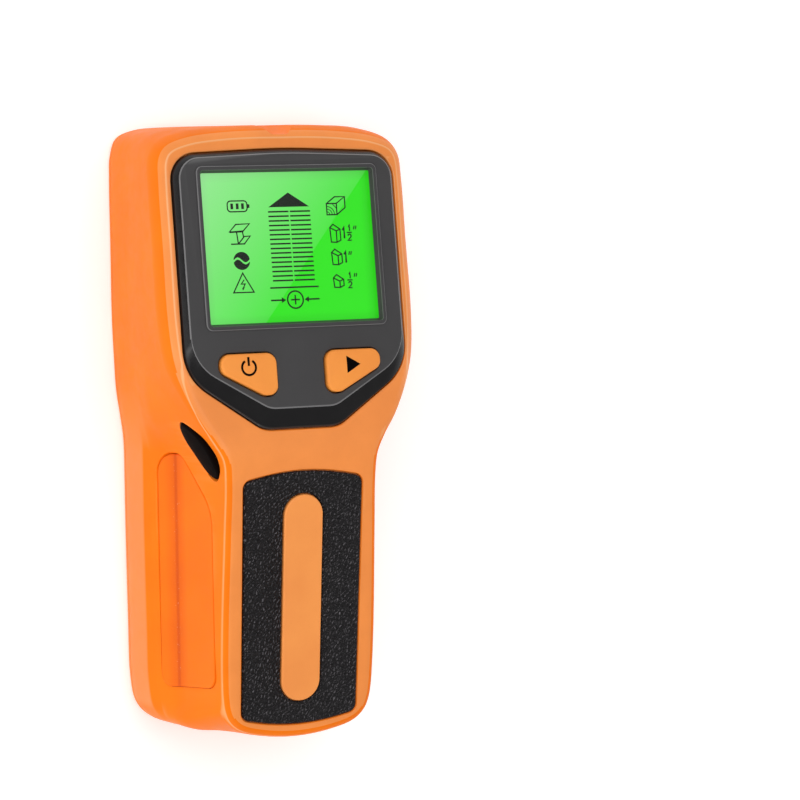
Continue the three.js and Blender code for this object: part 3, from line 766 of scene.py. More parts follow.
def copper_winding(name):
    """Enamelled wire wound in rings, seen as a ripple up the winding."""
    material, tree, place = new_material(name)
    inputs = {"Vector": place, "Scale": 1800, "Distortion": 0.4}
    wave = add_node(tree, "TexWave", inputs, wave_type="BANDS", bands_direction="Z").outputs["Fac"]
    return dress(material, {
        "Base Color": blend(tree, wave, linear(120, 55, 25), linear(205, 118, 66)),
        "Roughness": remap(tree, noise(tree, place, 1.5), 0, 1, 0.25, 0.45),
        "Normal": bump(tree, wave, 0.12),
        "Metallic": 0.85,
    })


SCREEN_GREEN = (46, 236, 22)
SCREEN_DARK = (14, 70, 8)
# The painted sheen, a reflection painted into the display's glow: its straight edge runs from the
# display's top right corner to the middle of its foot. Its places are distances from the
# display's middle along the direction to the upper left.
SHEEN_ACROSS = (-0.772, 0.636, 0)
SHEEN_LINE = -6.3
SHEEN_BLUR = 0.15
SHEEN_FULL = 30.6


def lit_display(name):
    """The green display, lit from behind and darker at its borders, with a painted reflection that makes its
    upper left half paler.
    """
    material, tree, place = new_material(name)
    middle = HEAD @ Vector((0, up_head(SCREEN_ALONG), 0))
    shift = {"Vector": place, "Location": [-value * MM for value in middle]}
    on_screen = add_node(tree, "Mapping", shift).outputs[0]
    borders = [
        remap(tree, maths(tree, "ABSOLUTE", side), (half - 2.2) * MM, (half + 0.5) * MM, 1, 0.8)
        for side, half in zip(split(tree, on_screen), SCREEN_HALF)
    ]
    cloud = remap(tree, noise(tree, place, 22, 1), 0.3, 0.7, 0.97, 1.03)
    level = product(tree, *borders, cloud)
    glow = blend(tree, level, linear(*SCREEN_DARK), linear(*SCREEN_GREEN))
    # A painted reflection: the upper left half is blended towards white in the glow.
    past_line = vector_maths(tree, "DOT_PRODUCT", on_screen, SHEEN_ACROSS, result="Value")
    pale = remap(tree, past_line, SHEEN_LINE * MM, (SHEEN_LINE + SHEEN_BLUR) * MM, 0, 1)
    depth = remap(tree, past_line, SHEEN_LINE * MM, SHEEN_FULL * MM, 0.05, 0.3)
    return dress(material, {
        "Emission Color": blend(tree, product(tree, pale, depth), glow, (1, 1, 1, 1)),
        "Emission Strength": 0.95,
        "Base Color": linear(10, 26, 10),
        "Specular IOR Level": 0.1,
        "Roughness": remap(tree, noise(tree, place, 0.4), 0, 1, 0.4, 0.5),
    })


def clear_pane(name):
    """A polished pane: a clear sheet that only adds its reflection, with faint rub marks."""
    material, tree, place = new_material(name)
    tilt = add_node(tree, "LayerWeight", {"Blend": 0.5}).outputs["Facing"]
    return dress(material, {
        "Base Color": (1, 1, 1, 1),
        "Metallic": 1,
        "Roughness": remap(tree, noise(tree, place, 2.5, 4, 0.7), 0.5, 0.9, 0.015, 0.06),
        "Alpha": remap(tree, maths(tree, "POWER", tilt, 5.0), 0, 1, 0.02, 0.5),
    })


ORANGE = housing_plastic("orange_abs", linear(254, 123, 9), 0.45, specular=0.12, wear=linear(255, 178, 100))
# A paler copy of the orange for the up-facing front: a painted sheen of the light from above.
FRONT_ORANGE_LIT = housing_plastic(
    "orange_front_lit", linear(252, 148, 70), 0.46, specular=0.25, coat=0.2, wear=linear(255, 185, 115)
)
GRIP_ORANGE = grip_rubber(
    "orange_soft_grip", linear(254, 118, 12), 0.5, grain=0.4, grain_depth=0.03, specular=0.14
)
KEY_ORANGE = moulded(
    "orange_key_rubber", linear(255, 154, 64), 0.5, grain=0.3, grain_depth=0.01, specular=0.3
)
PLATE_ORANGE = moulded("orange_plate", linear(255, 156, 78), 0.46, grain=0.3, specular=0.3)
BEZEL_GREY = moulded("bezel_grey", linear(60, 59, 60), 0.42, specular=0.35, wear=linear(125, 125, 125))
# A paler grey for the edge between the bezel's face and its border and for the rim's top band: a painted
# highlight.
BEZEL_HIGHLIGHT = moulded("bezel_edge_highlight", linear(112, 111, 112), 0.35, grain_depth=0.003)
# The sloped border's copy of the bezel grey: its gloss is the finish, its darker colour painted shade.
BEZEL_GLOSS_SHADED = moulded(
    "bezel_gloss_shaded", linear(22, 21, 22), 0.2, grain_depth=0.003, specular=0.3, wear=linear(120, 120, 120)
)
LEATHER = leather("black_leather_grain", linear(12, 8, 11), linear(112, 108, 112))
BLACK_RUBBER = moulded("black_rubber", linear(8, 3, 2), 0.6, grain=0.35, grain_depth=0.02, specular=0.04)
INK = moulded("black_ink", linear(5, 3, 3), 0.6, grain_depth=0.004, specular=0.03)
SEGMENT = moulded("display_segment", linear(12, 28, 12), 0.6, grain_depth=0.004, specular=0.15)
DISPLAY = lit_display("display_green")
CLEAR = clear_pane("window_clear")
STEEL = brushed_metal("zinc_steel", linear(190, 192, 196), 0.3)
BOARD = circuit_board("board_lacquer", linear(18, 92, 46))
COPPER = copper_winding("copper_winding")
WHITE = moulded("white_plastic", linear(228, 228, 222), 0.5, grain_depth=0.01)
INNER_BLACK = moulded("black_plastic", linear(24, 24, 25), 0.45, grain_depth=0.01)
RED = moulded("red_insulation", linear(176, 24, 22), 0.42, grain_depth=0.006)


def finish_piece(obj, material, node=None, body="housing", limit=32):
    """Gives a piece its material and shading, and lets it stand for its CAD node."""
    obj.data.materials.clear()
    obj.data.materials.append(material)
    shade(obj, limit)
    if node:
        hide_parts(node)
    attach(obj, body)
    return obj


# ---- housing shells ----
NOTCH = rounded([
    (-6.6, along(162), 0), (-2.2, along(158.1), 1.6), (2.2, along(158.1), 1.6), (6.6, along(162), 0),
])


def inner_cavity():
    """The room inside the housing, which stops short of the notch."""
    form = housing_form("cavity", WALL, roof_at, 2, 1)
    return cut(form, block("end_gap", -8.5, 8.5, 154.8, 165, -1, 60))


def grip_path():
    """The grip's cross-section as a smooth path of (x, z) points, valley rounded."""
    rim, valley, edge = (Vector(point) for point in GRIP_SECTION)
    into = (rim - valley).normalized()
    out = (edge - valley).normalized()
    start, end = valley + into * VALLEY_ROUNDING, valley + out * VALLEY_ROUNDING
    path = [rim + into * 2.5, rim]
    for step in range(9):
        t = step / 8
        path.append((1 - t) ** 2 * start + 2 * t * (1 - t) * valley + t ** 2 * end)
    return path + [edge, edge + out * 5]


def bend_to_valley(obj, side):
    """Wraps a flat piece, drawn as (across, up, height), round the valley of one side."""
    path = grip_path()
    spans = [(b - a).length for a, b in zip(path, path[1:])]
    starts = np.concatenate([[0], np.cumsum(spans)]) - spans[0]
    runs = [after - before for before, after in zip(path[:1] + path[:-1], path[1:] + path[-1:])]
    normals = [Vector((run.y, -run.x)).normalized() for run in runs]
    with editing(obj) as mesh:
        for start in starts[1:-1]:
            everything = mesh.verts[:] + mesh.edges[:] + mesh.faces[:]
            bmesh.ops.bisect_plane(mesh, geom=everything, plane_co=(start * MM, 0, 0), plane_no=(1, 0, 0))
        for vertex in mesh.verts:
            across, up, height = vertex.co / MM
            index = int(np.clip(np.searchsorted(starts, across) - 1, 0, len(spans) - 1))
            share = (across - starts[index]) / spans[index]
            normal = normals[index].lerp(normals[index + 1], share).normalized()
            x, z = path[index].lerp(path[index + 1], share) + normal * height
            vertex.co = Vector((side * x, up, z)) * MM
        if side > 0:
            bmesh.ops.reverse_faces(mesh, faces=mesh.faces[:])
    return obj


def grip_outline(spare):
    """The grip laid flat: across from the rim to the strip's wall, and up the handle."""
    start, end = (along(a) for a in GRIP_RUN)
    slope = (Vector(GRIP_SECTION[0]) - Vector(GRIP_SECTION[1])).length
    width = slope + (Vector(GRIP_SECTION[2]) - Vector(GRIP_SECTION[1])).length
    edge = width + 0.9
    corners = [
        (0, start, 3.4), (edge, start + 1.5, 3.4), (edge, end - 14, 12), (slope + 2.5, end, 4), (0, end, 5),
    ]
    return grow(rounded(corners), spare)


def grip_insert(side):
    insert = loft("side_insert", rounded_sections(grip_outline(0), -GRIP_DEPTH, 0.08, 0.3, 4))
    return bend_to_valley(insert, side)


def grip_recess(side):
    outline = grip_outline(0.13)
    sections = [(outline, -GRIP_DEPTH - GAP), (outline, -0.2)]
    sections += [(grow(outline, 0.2), 0.05), (grow(outline, 0.6), 2.2)]
    return bend_to_valley(loft("grip_recess", sections), side)


def front_shell():
    skin = housing_form("housing_front")
    clip(skin, SEAM_HEIGHT + GAP, True)
    cut(skin, inner_cavity())
    cut(
        skin,
        prism("notch", NOTCH, -1, 50),
        prism("bezel_hole", grow(BEZEL_OUTER, -1.9), -HEAD_ROOF - 1.5, 0, HEAD),
        loft("side_key_hole", [(grow(LEAF, 0.35), -9), (grow(LEAF, 0.35), 6)], SIDE_KEY),
    )
    cut(
        skin,
        loft("bezel_seat", pocket_sections(grow(BEZEL_OUTER, GAP), LEDGE, 0.45), HEAD),
        loft("pad_seat", pocket_sections(grow(PAD, GAP), -1.2, 0.4), HANDLE),
    )
    for side in (-1, 1):
        cut(skin, grip_recess(side))
    finish_piece(skin, ORANGE, "front_shell")
    # Up-facing front faces take the paler copy of the orange: painted sheen.
    skin.data.materials.append(FRONT_ORANGE_LIT)
    for face in skin.data.polygons:
        place = face.center.y / MM - along(0)
        least_rise = mix(*FRONT_RISE, headness(place + FRONT_LEAD))
        if face.normal.z > least_rise and face.center.z > FRONT_LOW * MM:
            face.material_index = 1
    return skin


def door_slot():
    end, top = DOOR_END + GAP, DOOR_THICKNESS + GAP
    slot = block("slot", -DOOR_HALF - GAP, DOOR_HALF + GAP, -5, end, -1, top)
    wide = block("wide", -DOOR_FLANGE - GAP, DOOR_FLANGE + GAP, -5, end, DOOR_FLANGE_LOW - GAP, top)
    return join(slot, wide)


BAY_HALF = 14.2
BAY_RUN = (13.8, 68.2)
BAY_ROOM = 20.9
BAY_WALL = 1.2
RAIL_HALF = 1.8
RAIL_TOP = 3.9
POCKET_RADIUS = 3.1
POCKET_DEPTH = 2.4
PILOT_RADIUS = 1.6
PILOT_DEPTH = 9
# The blank label's half width, its two ends along the tool, and its corner radius.
LABEL = (21, 108, 140, 3)
LABEL_DEPTH = 0.4
SCREW_PLACES = ("head_left", "head_right", "handle_left", "handle_right")


def rear_shell():
    """The tray with the battery bay, the door's rails and slot, and the screws' pockets."""
    tray = clip(housing_form("housing_rear"), SEAM_HEIGHT, False)
    hollow = clip(inner_cavity(), FLOOR, True)
    cut(tray, hollow)
    start, end = BAY_RUN
    half = BAY_HALF + BAY_WALL
    bay = block("bay", -half, half, start - BAY_WALL, end + BAY_WALL, FLOOR - 0.2, BAY_ROOM + BAY_WALL)
    rails = [
        block("rail", x - RAIL_HALF, x + RAIL_HALF, 9, 69, 2, RAIL_TOP) for x in (-DOOR_FLANGE, DOOR_FLANGE)
    ]
    join(tray, bay, *rails)
    pockets = []
    for place in SCREW_PLACES:
        low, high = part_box(f"rear_screw_{place}")
        middle = (low + high) / 2 / MM
        pockets.append(prism("pocket", circle(POCKET_RADIUS, 32, middle.x, middle.y), -1, POCKET_DEPTH))
        pockets.append(prism("pilot", circle(PILOT_RADIUS, 20, middle.x, middle.y), 0, PILOT_DEPTH))
    label = rounded([(x, along(a), radius) for x, a, radius in rectangle(*LABEL)])
    cut(
        tray,
        block("bay_room", -BAY_HALF, BAY_HALF, start, end, 0, BAY_ROOM),
        prism("notch", NOTCH, -1, 50),
        door_slot(),
        prism("label", label, -1, LABEL_DEPTH),
        *pockets,
    )
    return finish_piece(tray, ORANGE, "rear_shell")


GROOVES = np.arange(6) * 1.9 + 12


def battery_door():
    """The sliding door with a flange on both sides and grooves for the thumb."""
    low, high = (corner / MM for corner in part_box("battery_door"))
    plate = rounded([
        (-DOOR_HALF, low.y, 0), (DOOR_HALF, low.y, 0), (DOOR_HALF, high.y, 1), (-DOOR_HALF, high.y, 1),
    ])
    panel = prism("door_panel", plate, 0, DOOR_THICKNESS)
    join(panel, block("flange", -DOOR_FLANGE, DOOR_FLANGE, 5, DOOR_END - 1, DOOR_FLANGE_LOW, DOOR_THICKNESS))
    combine(panel, "INTERSECT", housing_form("outline", steps=3, round_steps=2))
    grooves = [block("groove", -7.5, 7.5, a, a + 0.9, -1, 0.45) for a in GROOVES]
    cut(panel, *grooves)
    return finish_piece(panel, ORANGE, "battery_door", "battery_door")


front_shell()
rear_shell()
battery_door()
for side, place in ((-1, "left"), (1, "right")):
    piece = grip_insert(side)
    piece.name = f"side_insert_{place}"
    finish_piece(piece, GRIP_ORANGE, f"{place}_side_grip")


# ---- front of the handle ----
PAD_TOP = 0.32


def grip_pad():
    pad = loft("pad_leather", rounded_sections(PAD, -0.9, PAD_TOP, 0.4, 4), HANDLE)
    at_top = HANDLE @ Matrix.Translation((0, 0, PAD_TOP))
    cut(pad, loft("plate_hole", pocket_sections(grow(PILL, GAP), -2, 0.35), at_top))
    return finish_piece(pad, LEATHER, "grip_pad")


def name_plate():
    plate = loft("plate_blank", rounded_sections(PILL, -0.9, 0.75, 0.45, 5), HANDLE)
    return finish_piece(plate, PLATE_ORANGE, "name_plate")


# ---- bezel ----
PANE_SEAT = 1.2
RIM_RISE = 0.6
BEZEL_START = 0.2


def key_hole(outline):
    at_face = HEAD @ Matrix.Translation((0, 0, BEZEL_FACE))
    return loft("key_hole", pocket_sections(grow(outline, 0.35), -6, 0.25), at_face)


def bezel():
    """A frame with a sloped, glossy border, a raised rim round the display and two key holes."""
    slope = [(BEZEL_OUTER, BEZEL_UNDERSIDE), (BEZEL_OUTER, 0.0)]
    for share in (0.06, 0.2, 0.4, 0.6, 0.8, 0.93):
        outline = [a.lerp(b, share) for a, b in zip(BEZEL_OUTER, BEZEL_INNER)]
        slope.append((outline, mix(BEZEL_START, BEZEL_FACE, share ** 0.8)))
    slope.append((BEZEL_INNER, BEZEL_FACE))
    plate = loft("bezel_frame", slope, HEAD)
    rim = rounded_sections(screen_outline(2.1, 1.8), 0, BEZEL_FACE + RIM_RISE, RIM_RISE, 6)
    join(plate, loft("rim", rim, HEAD))
    opening = screen_outline(0.3, 0.4)
    mouth = [(opening, -3), (opening, PANE_SEAT)]
    mouth += [(screen_outline(0.9, 0.8), BEZEL_FACE + 0.4), (screen_outline(1.3, 1), 4)]
    cut(
        plate,
        loft("opening", mouth, HEAD),
        prism("pane_seat", screen_outline(1.3, 0.6), -3, PANE_SEAT, HEAD),
        key_hole(KEY_LEFT),
        key_hole(KEY_RIGHT),
    )
    finish_piece(plate, BEZEL_GREY, "display_bezel", limit=24)
    plate.data.materials.append(BEZEL_GLOSS_SHADED)
    plate.data.materials.append(BEZEL_HIGHLIGHT)
    # The sloped border takes the darker glossy copy, whose darkness is painted shade.
    gloss, edge = 1, 2
    # Faces at the inner edge of the bezel's face and on the rim's top band take the paler grey: painted
    # highlight.
    for face in plate.data.polygons:
        place = HEAD.inverted() @ (face.center / MM)
        if not inside(BEZEL_INNER, place.to_2d()):
            on_edge = inside(grow(BEZEL_INNER, 0.22), place.to_2d()) and place.z > BEZEL_FACE - 0.5
            face.material_index = edge if on_edge else gloss
        elif BEZEL_FACE + 0.3 < place.z < BEZEL_FACE + 0.52:
            face.material_index = edge
    return plate


def inside(outline, point):
    """Whether a point lies inside a closed outline."""
    crossings = 0
    for a, b in zip(outline, outline[1:] + outline[:1]):
        if (a.y > point.y) != (b.y > point.y):
            crossings += point.x < a.x + (point.y - a.y) / (b.y - a.y) * (b.x - a.x)
    return crossings % 2 == 1


# ---- keys and their symbols ----
KEY_TOP = BEZEL_FACE + 1.15
KEY_FOOT = -3.3
KEY_FLANGE = 0.8
INK_WIDTH = 0.58


def key_cap(name, outline, node):
    cap = loft(name, domed_sections(outline, KEY_FOOT, KEY_TOP, 0.75, 0.15), HEAD)
    join(cap, prism("flange", grow(outline, KEY_FLANGE), KEY_FOOT, -2.6, HEAD))
    return finish_piece(cap, KEY_ORANGE, node, node, limit=40)


def ribbon(points, width, closed=False):
    """The two sides of a line of this width through the points."""
    runs = [(after - point).normalized() for point, after in zip(points, points[1:] + points[:1])]
    if not closed:
        runs[-1] = runs[-2]
    side = []
    for index, run in enumerate(runs):
        before = runs[index - 1] if index or closed else run
        normal = Vector((run.y, -run.x))
        middle = (Vector((before.y, -before.x)) + normal).normalized()
        side.append(middle * width / 2 / max(middle.dot(normal), 0.5))
    return [p + s for p, s in zip(points, side)], [p - s for p, s in zip(points, side)]


class Drawing:
    """Flat raised marks on a plane, gathered into one mesh; their points start at its origin."""

    def __init__(self, place, low, high):
        self.place, self.heights = place, (low, high)
        self.origin = Vector((0, 0))
        self.points, self.faces = [], []

    def move_to(self, x, y):
        self.origin = Vector((x, y))

    def stand(self, outline):
        """Adds an upright solid on an outline that turns either way."""
        area = sum(a.x * b.y - b.x * a.y for a, b in zip(outline, outline[1:] + outline[:1]))
        if area < 0:
            outline.reverse()
        base, count = len(self.points), len(outline)
        self.points += [(p.x, p.y, z) for z in self.heights for p in outline]
        self.faces += [tuple(base + i for i in face) for face in ring_faces(2, count)]
        self.faces.append(tuple(base + i for i in range(count))[::-1])
        self.faces.append(tuple(base + count + i for i in range(count)))

    def fill(self, outline):
        self.stand([self.origin + Vector(point) for point in outline])

    def line(self, points, width, closed=False):
        right, left = ribbon([self.origin + Vector(point) for point in points], width, closed)
        if not closed:
            self.stand(right + left[::-1])
            return
        low, count = len(self.points), len(right)
        high = low + 2 * count
        self.points += [(p.x, p.y, z) for z in self.heights for p in right + left]
        sides = ((low, high), (high, high + count), (high + count, low + count), (low + count, low))
        for i in range(count):
            j = (i + 1) % count
            self.faces += [(a + i, a + j, b + j, b + i) for a, b in sides]

    def make(self, name, material, slot, body):
        obj = face_outwards(new_object(name, self.points, self.faces, self.place))
        return finish_piece(obj, material, body=body)


def arc(centre, radius, start, end, count=24):
    turns = [math.radians(start + (end - start) * i / count) for i in range(count + 1)]
    return [(centre[0] + radius * math.cos(t), centre[1] + radius * math.sin(t)) for t in turns]


def key_symbols():
    power, play = (Drawing(HEAD, KEY_TOP - 0.2, KEY_TOP + 0.17) for _ in range(2))
    power.move_to(-15.3, up_head(98.0))
    power.line(arc((0, 0), 1.95, 122, 418), INK_WIDTH)
    power.line([(0, 0.4), (0, 2.7)], INK_WIDTH)
    power.make("symbol_power", INK, "grip_black", "power_key")
    play.move_to(14.6, up_head(97.6))
    play.fill([(-1.8, -2.25), (2.1, 0), (-1.8, 2.25)])
    play.make("symbol_play", INK, "grip_black", "mode_key")


# ---- display ----
SCREEN_PLACE = HEAD @ Matrix.Translation((0, up_head(SCREEN_ALONG), 0))
PANEL_TOP = -0.2
THIN = 0.34
THICK = 0.42
BOLD = 0.52


def timber_mark(pen, x, y, height):
    """A stud seen from its end, drawn as a small block of this height."""
    pen.move_to(x, y)
    left, right, corner = (0, height - 0.84), (2.93, height - 1.28), (1.83, height - 1.74)
    pen.line([left, (0.97, height), right, (3, 0.55), (1.83, 0), (0.2, 0.1)], THIN, True)
    pen.line([left, corner, right], THIN)
    pen.line([corner, (1.83, 0)], THIN)


def one(pen, x, y, height, width=BOLD):
    pen.move_to(x, y)
    pen.line([(-0.16 * height, 0.74 * height), (0, height), (0, 0)], width)


def half_mark(pen, x, y):
    """A fraction one half, two small digits over each other, with its bar at height y."""
    one(pen, x + 0.12, y + 0.42, 1.55, 0.4)
    pen.move_to(x, y)
    pen.line([(-0.75, 0), (0.75, 0)], THIN)
    pen.line(arc((0, -0.92), 0.46, 170, -40, 8) + [(-0.48, -2.05), (0.58, -2.05)], 0.36)


def inch_mark(pen, x, y):
    pen.move_to(x, y)
    for step in (0, 0.55):
        pen.line([(step, 0), (step + 0.25, 0.95)], 0.32)


def battery_mark(pen):
    pen.line(rounded([(-3, -1.4, 0.9), (2.6, -1.4, 0.9), (2.6, 1.4, 0.9), (-3, 1.4, 0.9)], 4), THIN, True)
    pen.fill([(2.7, -0.55), (3.3, -0.4), (3.3, 0.4), (2.7, 0.55)])
    for step in (-1.75, -0.2, 1.3):
        left, right = step - 0.35, step + 0.4
        pen.fill([(left, -0.75), (right, -0.75), (right, 0.75), (left, 0.75)])


def girder_mark(pen):
    pen.line([(-2.9, 0.6), (-1, 2.5), (2.9, 2.6), (1, 0.75)], THIN, True)
    pen.line([(-2.9, 0.5), (1, 0.6)], 0.4)
    pen.line([(-0.9, 0.5), (-0.6, -2.5)], THIN)
    pen.line([(0.8, 0.6), (1, -0.9), (-0.4, -2.4)], THIN)
    pen.line([(0.9, -0.7), (2.9, -0.6), (1.2, -2.5)], THIN)
    pen.line([(-2.7, -2.6), (1.3, -2.6)], 0.36)


def wave_mark(pen):
    """A disc parted by a wave, for alternating current."""
    radius = 2.35
    wave = [(-2.2 + 4.4 * i / 16, 0.65 * math.sin(2 * math.pi * i / 16)) for i in range(17)]
    upper = [(x, y + 0.28) for x, y in wave if abs(x) < radius - 0.1]
    lower = [(x, y - 0.28) for x, y in wave if abs(x) < radius - 0.1]
    pen.fill(upper + arc((0, 0), radius, 12, 168, 20))
    pen.fill(lower[::-1] + arc((0, 0), radius, 192, 348, 20))


def bolt_mark(pen):
    pen.line([(-2.9, -2.1), (2.9, -2.1), (0, 2.9)], THIN, True)
    pen.line([(0.3, 1.2), (-0.6, 0.1), (0.5, 0.1), (-0.1, -1)], 0.3)
    pen.fill([(-0.45, -0.9), (0.4, -0.75), (-0.25, -1.6)])


def left_symbols(pen):
    for y, mark in ((11, battery_mark), (3.8, girder_mark), (-3.2, wave_mark), (-9.3, bolt_mark)):
        pen.move_to(-13.6, y)
        mark(pen)


def signal_column(pen):
    """An arrow head over a stack of bars, and a target between two arrows under it."""
    pen.move_to(0.95, 0)
    pen.fill([(-5.9, 10.55), (5.9, 10.55), (0, 14.3)])
    for bar in range(16):
        y = 9.35 - 1.2 * bar
        for side in (-1, 1):
            pen.line([(side * 0.2, y), (side * 6.05, y)], THICK)
    pen.line([(-7, -10.5), (7, -10.5)], THICK)
    pen.move_to(0.95, -13.75)
    pen.line(arc((0, 0), 2.25, 0, 360 * 31 / 32, 31), THICK, True)
    pen.line([(-1.25, 0), (1.25, 0)], 0.4)
    pen.line([(0, -1.25), (0, 1.25)], 0.4)
    for side in (-1, 1):
        pen.line([(side * 7, 0), (side * 3.6, 0)], THICK)
        pen.fill([(side * 3.9, -0.75), (side * 3.9, 0.75), (side * 2.65, 0)])


def right_symbols(pen):
    """A block of wood with its grain, and three studs with their depths."""
    pen.move_to(11.9, 8.2)
    pen.line([(0, 0), (2.9, 0), (2.9, 2.95), (0, 2.95)], THIN, True)
    pen.line([(0, 2.95), (2.5, 4.7), (5.4, 4.7), (2.9, 2.95)], THIN)
    pen.line([(5.4, 4.7), (5.4, 1.8), (2.9, 0)], THIN)
    for radius in (0.8, 1.5, 2.2):
        pen.line(arc((0, 0), radius, 4, 86, 8), 0.2)
    pen.line([(1.7, 2.9), (2.9, 1.6)], 0.2)
    timber_mark(pen, 12.4, 0.9, 4.75)
    one(pen, 16.5, 1.9, 2.9)
    half_mark(pen, 18.0, 3.4)
    inch_mark(pen, 19.3, 4.2)
    timber_mark(pen, 12.4, -5, 4.1)
    one(pen, 16.5, -4.5, 2.9)
    inch_mark(pen, 17.4, -2.5)
    timber_mark(pen, 12.4, -11, 3.4)
    half_mark(pen, 17.2, -9.1)
    inch_mark(pen, 18.5, -8.3)


def display():
    panel = prism("display_face", screen_outline(1, 0.5), -2.3, PANEL_TOP, HEAD)
    finish_piece(panel, DISPLAY, "lcd_panel")
    pane = loft("window_pane", rounded_sections(screen_outline(1, 0.5), 0.1, 1.1, 0.12, 2), HEAD)
    finish_piece(pane, CLEAR, "display_window")
    draws = {"symbols_left": left_symbols, "signal_bars": signal_column, "symbols_right": right_symbols}
    for name, draw in draws.items():
        pen = Drawing(SCREEN_PLACE, PANEL_TOP - 0.05, PANEL_TOP + 0.03)
        draw(pen)
        pen.make(name, SEGMENT, "inner_black", "housing")


# ---- side key ----
def side_key():
    """The domed thumb key in the wall of the neck."""
    cap = loft("thumb_key", domed_sections(LEAF, -4.8, 0.45, 0.7, 0.25), SIDE_KEY)
    return finish_piece(cap, BLACK_RUBBER, "scan_key", "scan_key", limit=40)


# ---- small metal and battery ----
THREAD_START = 1.7
THREAD_TURNS = 9
THREAD_PITCH = 0.85
CROSS_TURN = 20
STUD_HEIGHT = 2
STUD_PLACE = 6.4


def rear_screw(place):
    """A pan head screw, head down, from (radius, height) pairs, with a cross in its head."""
    node = f"rear_screw_{place}"
    low, high = (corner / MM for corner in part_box(node))
    middle = (low + high) / 2
    at = Matrix.Translation((middle.x, middle.y, low.z))
    profile = [(0.4, 0), (2.0, 0.05), (2.5, 0.35), (2.7, 0.8), (2.7, 1.5), (1.25, 1.55)]
    for turn in range(THREAD_TURNS):
        base = THREAD_START + turn * THREAD_PITCH
        profile += [(1.0, base), (1.25, base + 0.3), (1.25, base + 0.45), (1.0, base + 0.75)]
    profile += [(0.35, high.z - low.z)]
    screw = loft(f"screw_{place}", [(circle(radius, 32), z) for radius, z in profile], at)
    for angle in (0, 90):
        turned = at @ Matrix.Rotation(math.radians(angle + CROSS_TURN), 4, "Z")
        arm = [Vector(corner) for corner in ((-1.6, -0.28), (1.6, -0.28), (1.6, 0.28), (-1.6, 0.28))]
        cut(screw, prism("cross", arm, -1, 0.9, turned))
    return finish_piece(screw, STEEL, node)


def battery():
    """A block battery that lies along the handle, its two studs towards the head."""
    low, high = (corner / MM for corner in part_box("battery"))
    corners = ((low.x, low.z), (high.x, low.z), (high.x, high.z), (low.x, high.z))
    outline = rounded([(x, z, 1.6) for x, z in corners], 5)
    lengthways = Matrix(((1, 0, 0, 0), (0, 0, 1, 0), (0, 1, 0, 0), (0, 0, 0, 1)))
    turned = Matrix.Translation((0, low.y, 0)) @ lengthways
    ends = [(grow(outline, -0.6), 0), (grow(outline, -0.15), 0.2), (outline, 0.7)]
    length = high.y - STUD_HEIGHT - low.y
    ends += [(outline, length - 0.7), (grow(outline, -0.15), length - 0.2), (grow(outline, -0.6), length)]
    can = loft("battery_block", ends, turned)
    middle = (low.z + high.z) / 2
    for x in (-STUD_PLACE, STUD_PLACE):
        join(can, prism("stud", circle(3, 24, x, middle), length - 1, length + STUD_HEIGHT, turned))
    return finish_piece(face_outwards(can), INNER_BLACK, "battery")


grip_pad()
name_plate()
bezel()
key_cap("key_power", KEY_LEFT, "power_key")
key_cap("key_mode", KEY_RIGHT, "mode_key")
key_symbols()
display()
side_key()
for place in SCREW_PLACES:
    rear_screw(place)
battery()

# ---- CAD nodes that stay ----
KEPT_NODES = {
    WHITE: ("lcd_backlight", "lcd_holder", "coil_former", "board_cable"),
    BOARD: ("main_board", "sensor_board", "side_board"),
    STEEL: tuple(f"board_screw_{end}_{side}" for end in ("lower", "upper") for side in ("left", "right")),
    INNER_BLACK: (
        "power_switch", "mode_switch", "processor", "buzzer", "snap_connector", "black_lead", "scan_switch",
    ),
    COPPER: ("metal_coil",),
    RED: ("red_lead",),
}
for material, nodes in KEPT_NODES.items():
    for node in nodes:
        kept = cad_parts[node]
        for slot in kept.material_slots:
            slot.link = "OBJECT"
            slot.material = material

# ---- floor, light and camera ----
FLOOR_HALF = 1500
FLOOR_GLOW = 0.34


def stage():
    corners = [(x * FLOOR_HALF, y * FLOOR_HALF, 0) for x, y in ((-1, -1), (1, -1), (1, 1), (-1, 1))]
    floor = new_object("floor", corners, [(0, 1, 2, 3)])
    material, tree, place = new_material("floor_paper")
    tinted = blend(tree, noise(tree, place, 60, 2), linear(243, 243, 242), linear(249, 249, 249))
    floor.data.materials.append(dress(material, {
        "Base Color": tinted,
        "Roughness": 0.8,
        "Specular IOR Level": 0.1,
        "Emission Color": (1, 1, 1, 1),
        "Emission Strength": FLOOR_GLOW,
        "Normal": bump(tree, noise(tree, place, 1.0, 3), 0.01),
    }))


def area_light(name, place, aim_height, size, power):
    """A white studio light that faces the tool's middle at a height; lengths in metres."""
    data = bpy.data.lights.new(name, "AREA")
    data.shape = "RECTANGLE"
    data.size, data.size_y = size
    data.energy = power
    light = bpy.data.objects.new(name, data)
    bpy.context.scene.collection.objects.link(light)
    light.location = place
    light.rotation_euler = (Vector((0, 0, aim_height)) - Vector(place)).to_track_quat("-Z", "Y").to_euler()


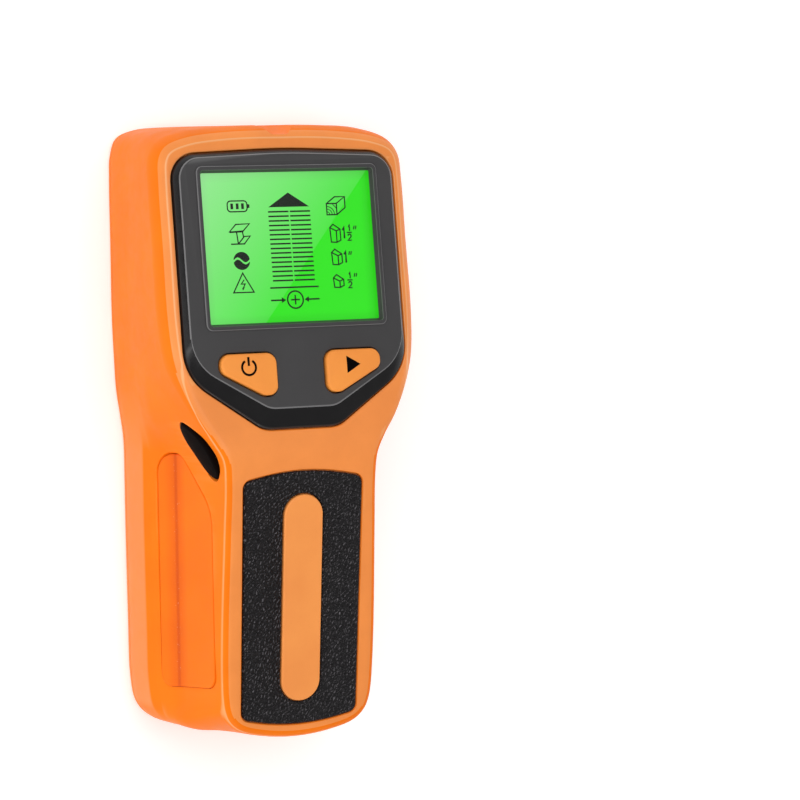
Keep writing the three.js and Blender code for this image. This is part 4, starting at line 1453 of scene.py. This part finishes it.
# The studio's backdrop is white at the horizon and dims upwards to a grey ceiling.
HORIZON_RISE = (0.12, 0.42)
SKY_LEVELS = (0.95, 0.36)
# Name, place, height faced, size and power of each light; lengths in metres.
LIGHTS = (
    ("top_soft", (-0.15, 0.3, 1.0), 0.02, (0.9, 0.9), 4.6),
    ("left_low", (-0.8, -0.15, 0.16), 0.02, (0.25, 1.0), 0.8),
    ("left_line", (-0.75, 0, 0.65), 0.03, (0.12, 1.1), 1.4),
    ("lower_left_card", (-0.28, -0.9, 0.4), 0.03, (0.3, 0.3), 1.4),
    ("right_line", (0.9, 0, 0.35), 0.03, (0.12, 1.0), 0.8),
)


def lights():
    world = bpy.data.worlds.new("studio")
    bpy.context.scene.world = world
    world.use_nodes = True
    tree = world.node_tree
    background = tree.nodes["Background"]
    _, _, rise = split(tree, add_node(tree, "TexCoord").outputs["Generated"])
    tree.links.new(remap(tree, rise, *HORIZON_RISE, *SKY_LEVELS), background.inputs["Strength"])
    background.inputs["Color"].default_value = (1, 1, 1, 1)
    for light in LIGHTS:
        area_light(*light)


VIEW_YAW = 27.29
VIEW_PITCH = 4.37
VIEW_ROLL = 0.82
VIEW_DISTANCE = 908
VIEW_LENS = 153.4
PIVOT = Vector((0, 0, 20))
AIM_SIDEWAYS = 36.98
AIM_UP = 7.39


def camera():
    """Looks down on the tool's front from its left side; distances in millimetres."""
    turn = (
        Matrix.Rotation(math.radians(VIEW_ROLL), 3, "Z")
        @ Matrix.Rotation(math.radians(VIEW_PITCH), 3, "X")
        @ Matrix.Rotation(math.radians(VIEW_YAW), 3, "Y")
    ).transposed()
    place = turn @ Vector((AIM_SIDEWAYS, AIM_UP, VIEW_DISTANCE)) + PIVOT
    data = bpy.data.cameras.new("camera")
    data.lens = VIEW_LENS
    data.clip_end = 10
    view = bpy.data.objects.new("camera", data)
    bpy.context.scene.collection.objects.link(view)
    view.matrix_world = Matrix.Translation(place * MM) @ turn.to_4x4()
    bpy.context.scene.camera = view


stage()
lights()
camera()
bpy.context.scene.view_settings.view_transform = "Standard"
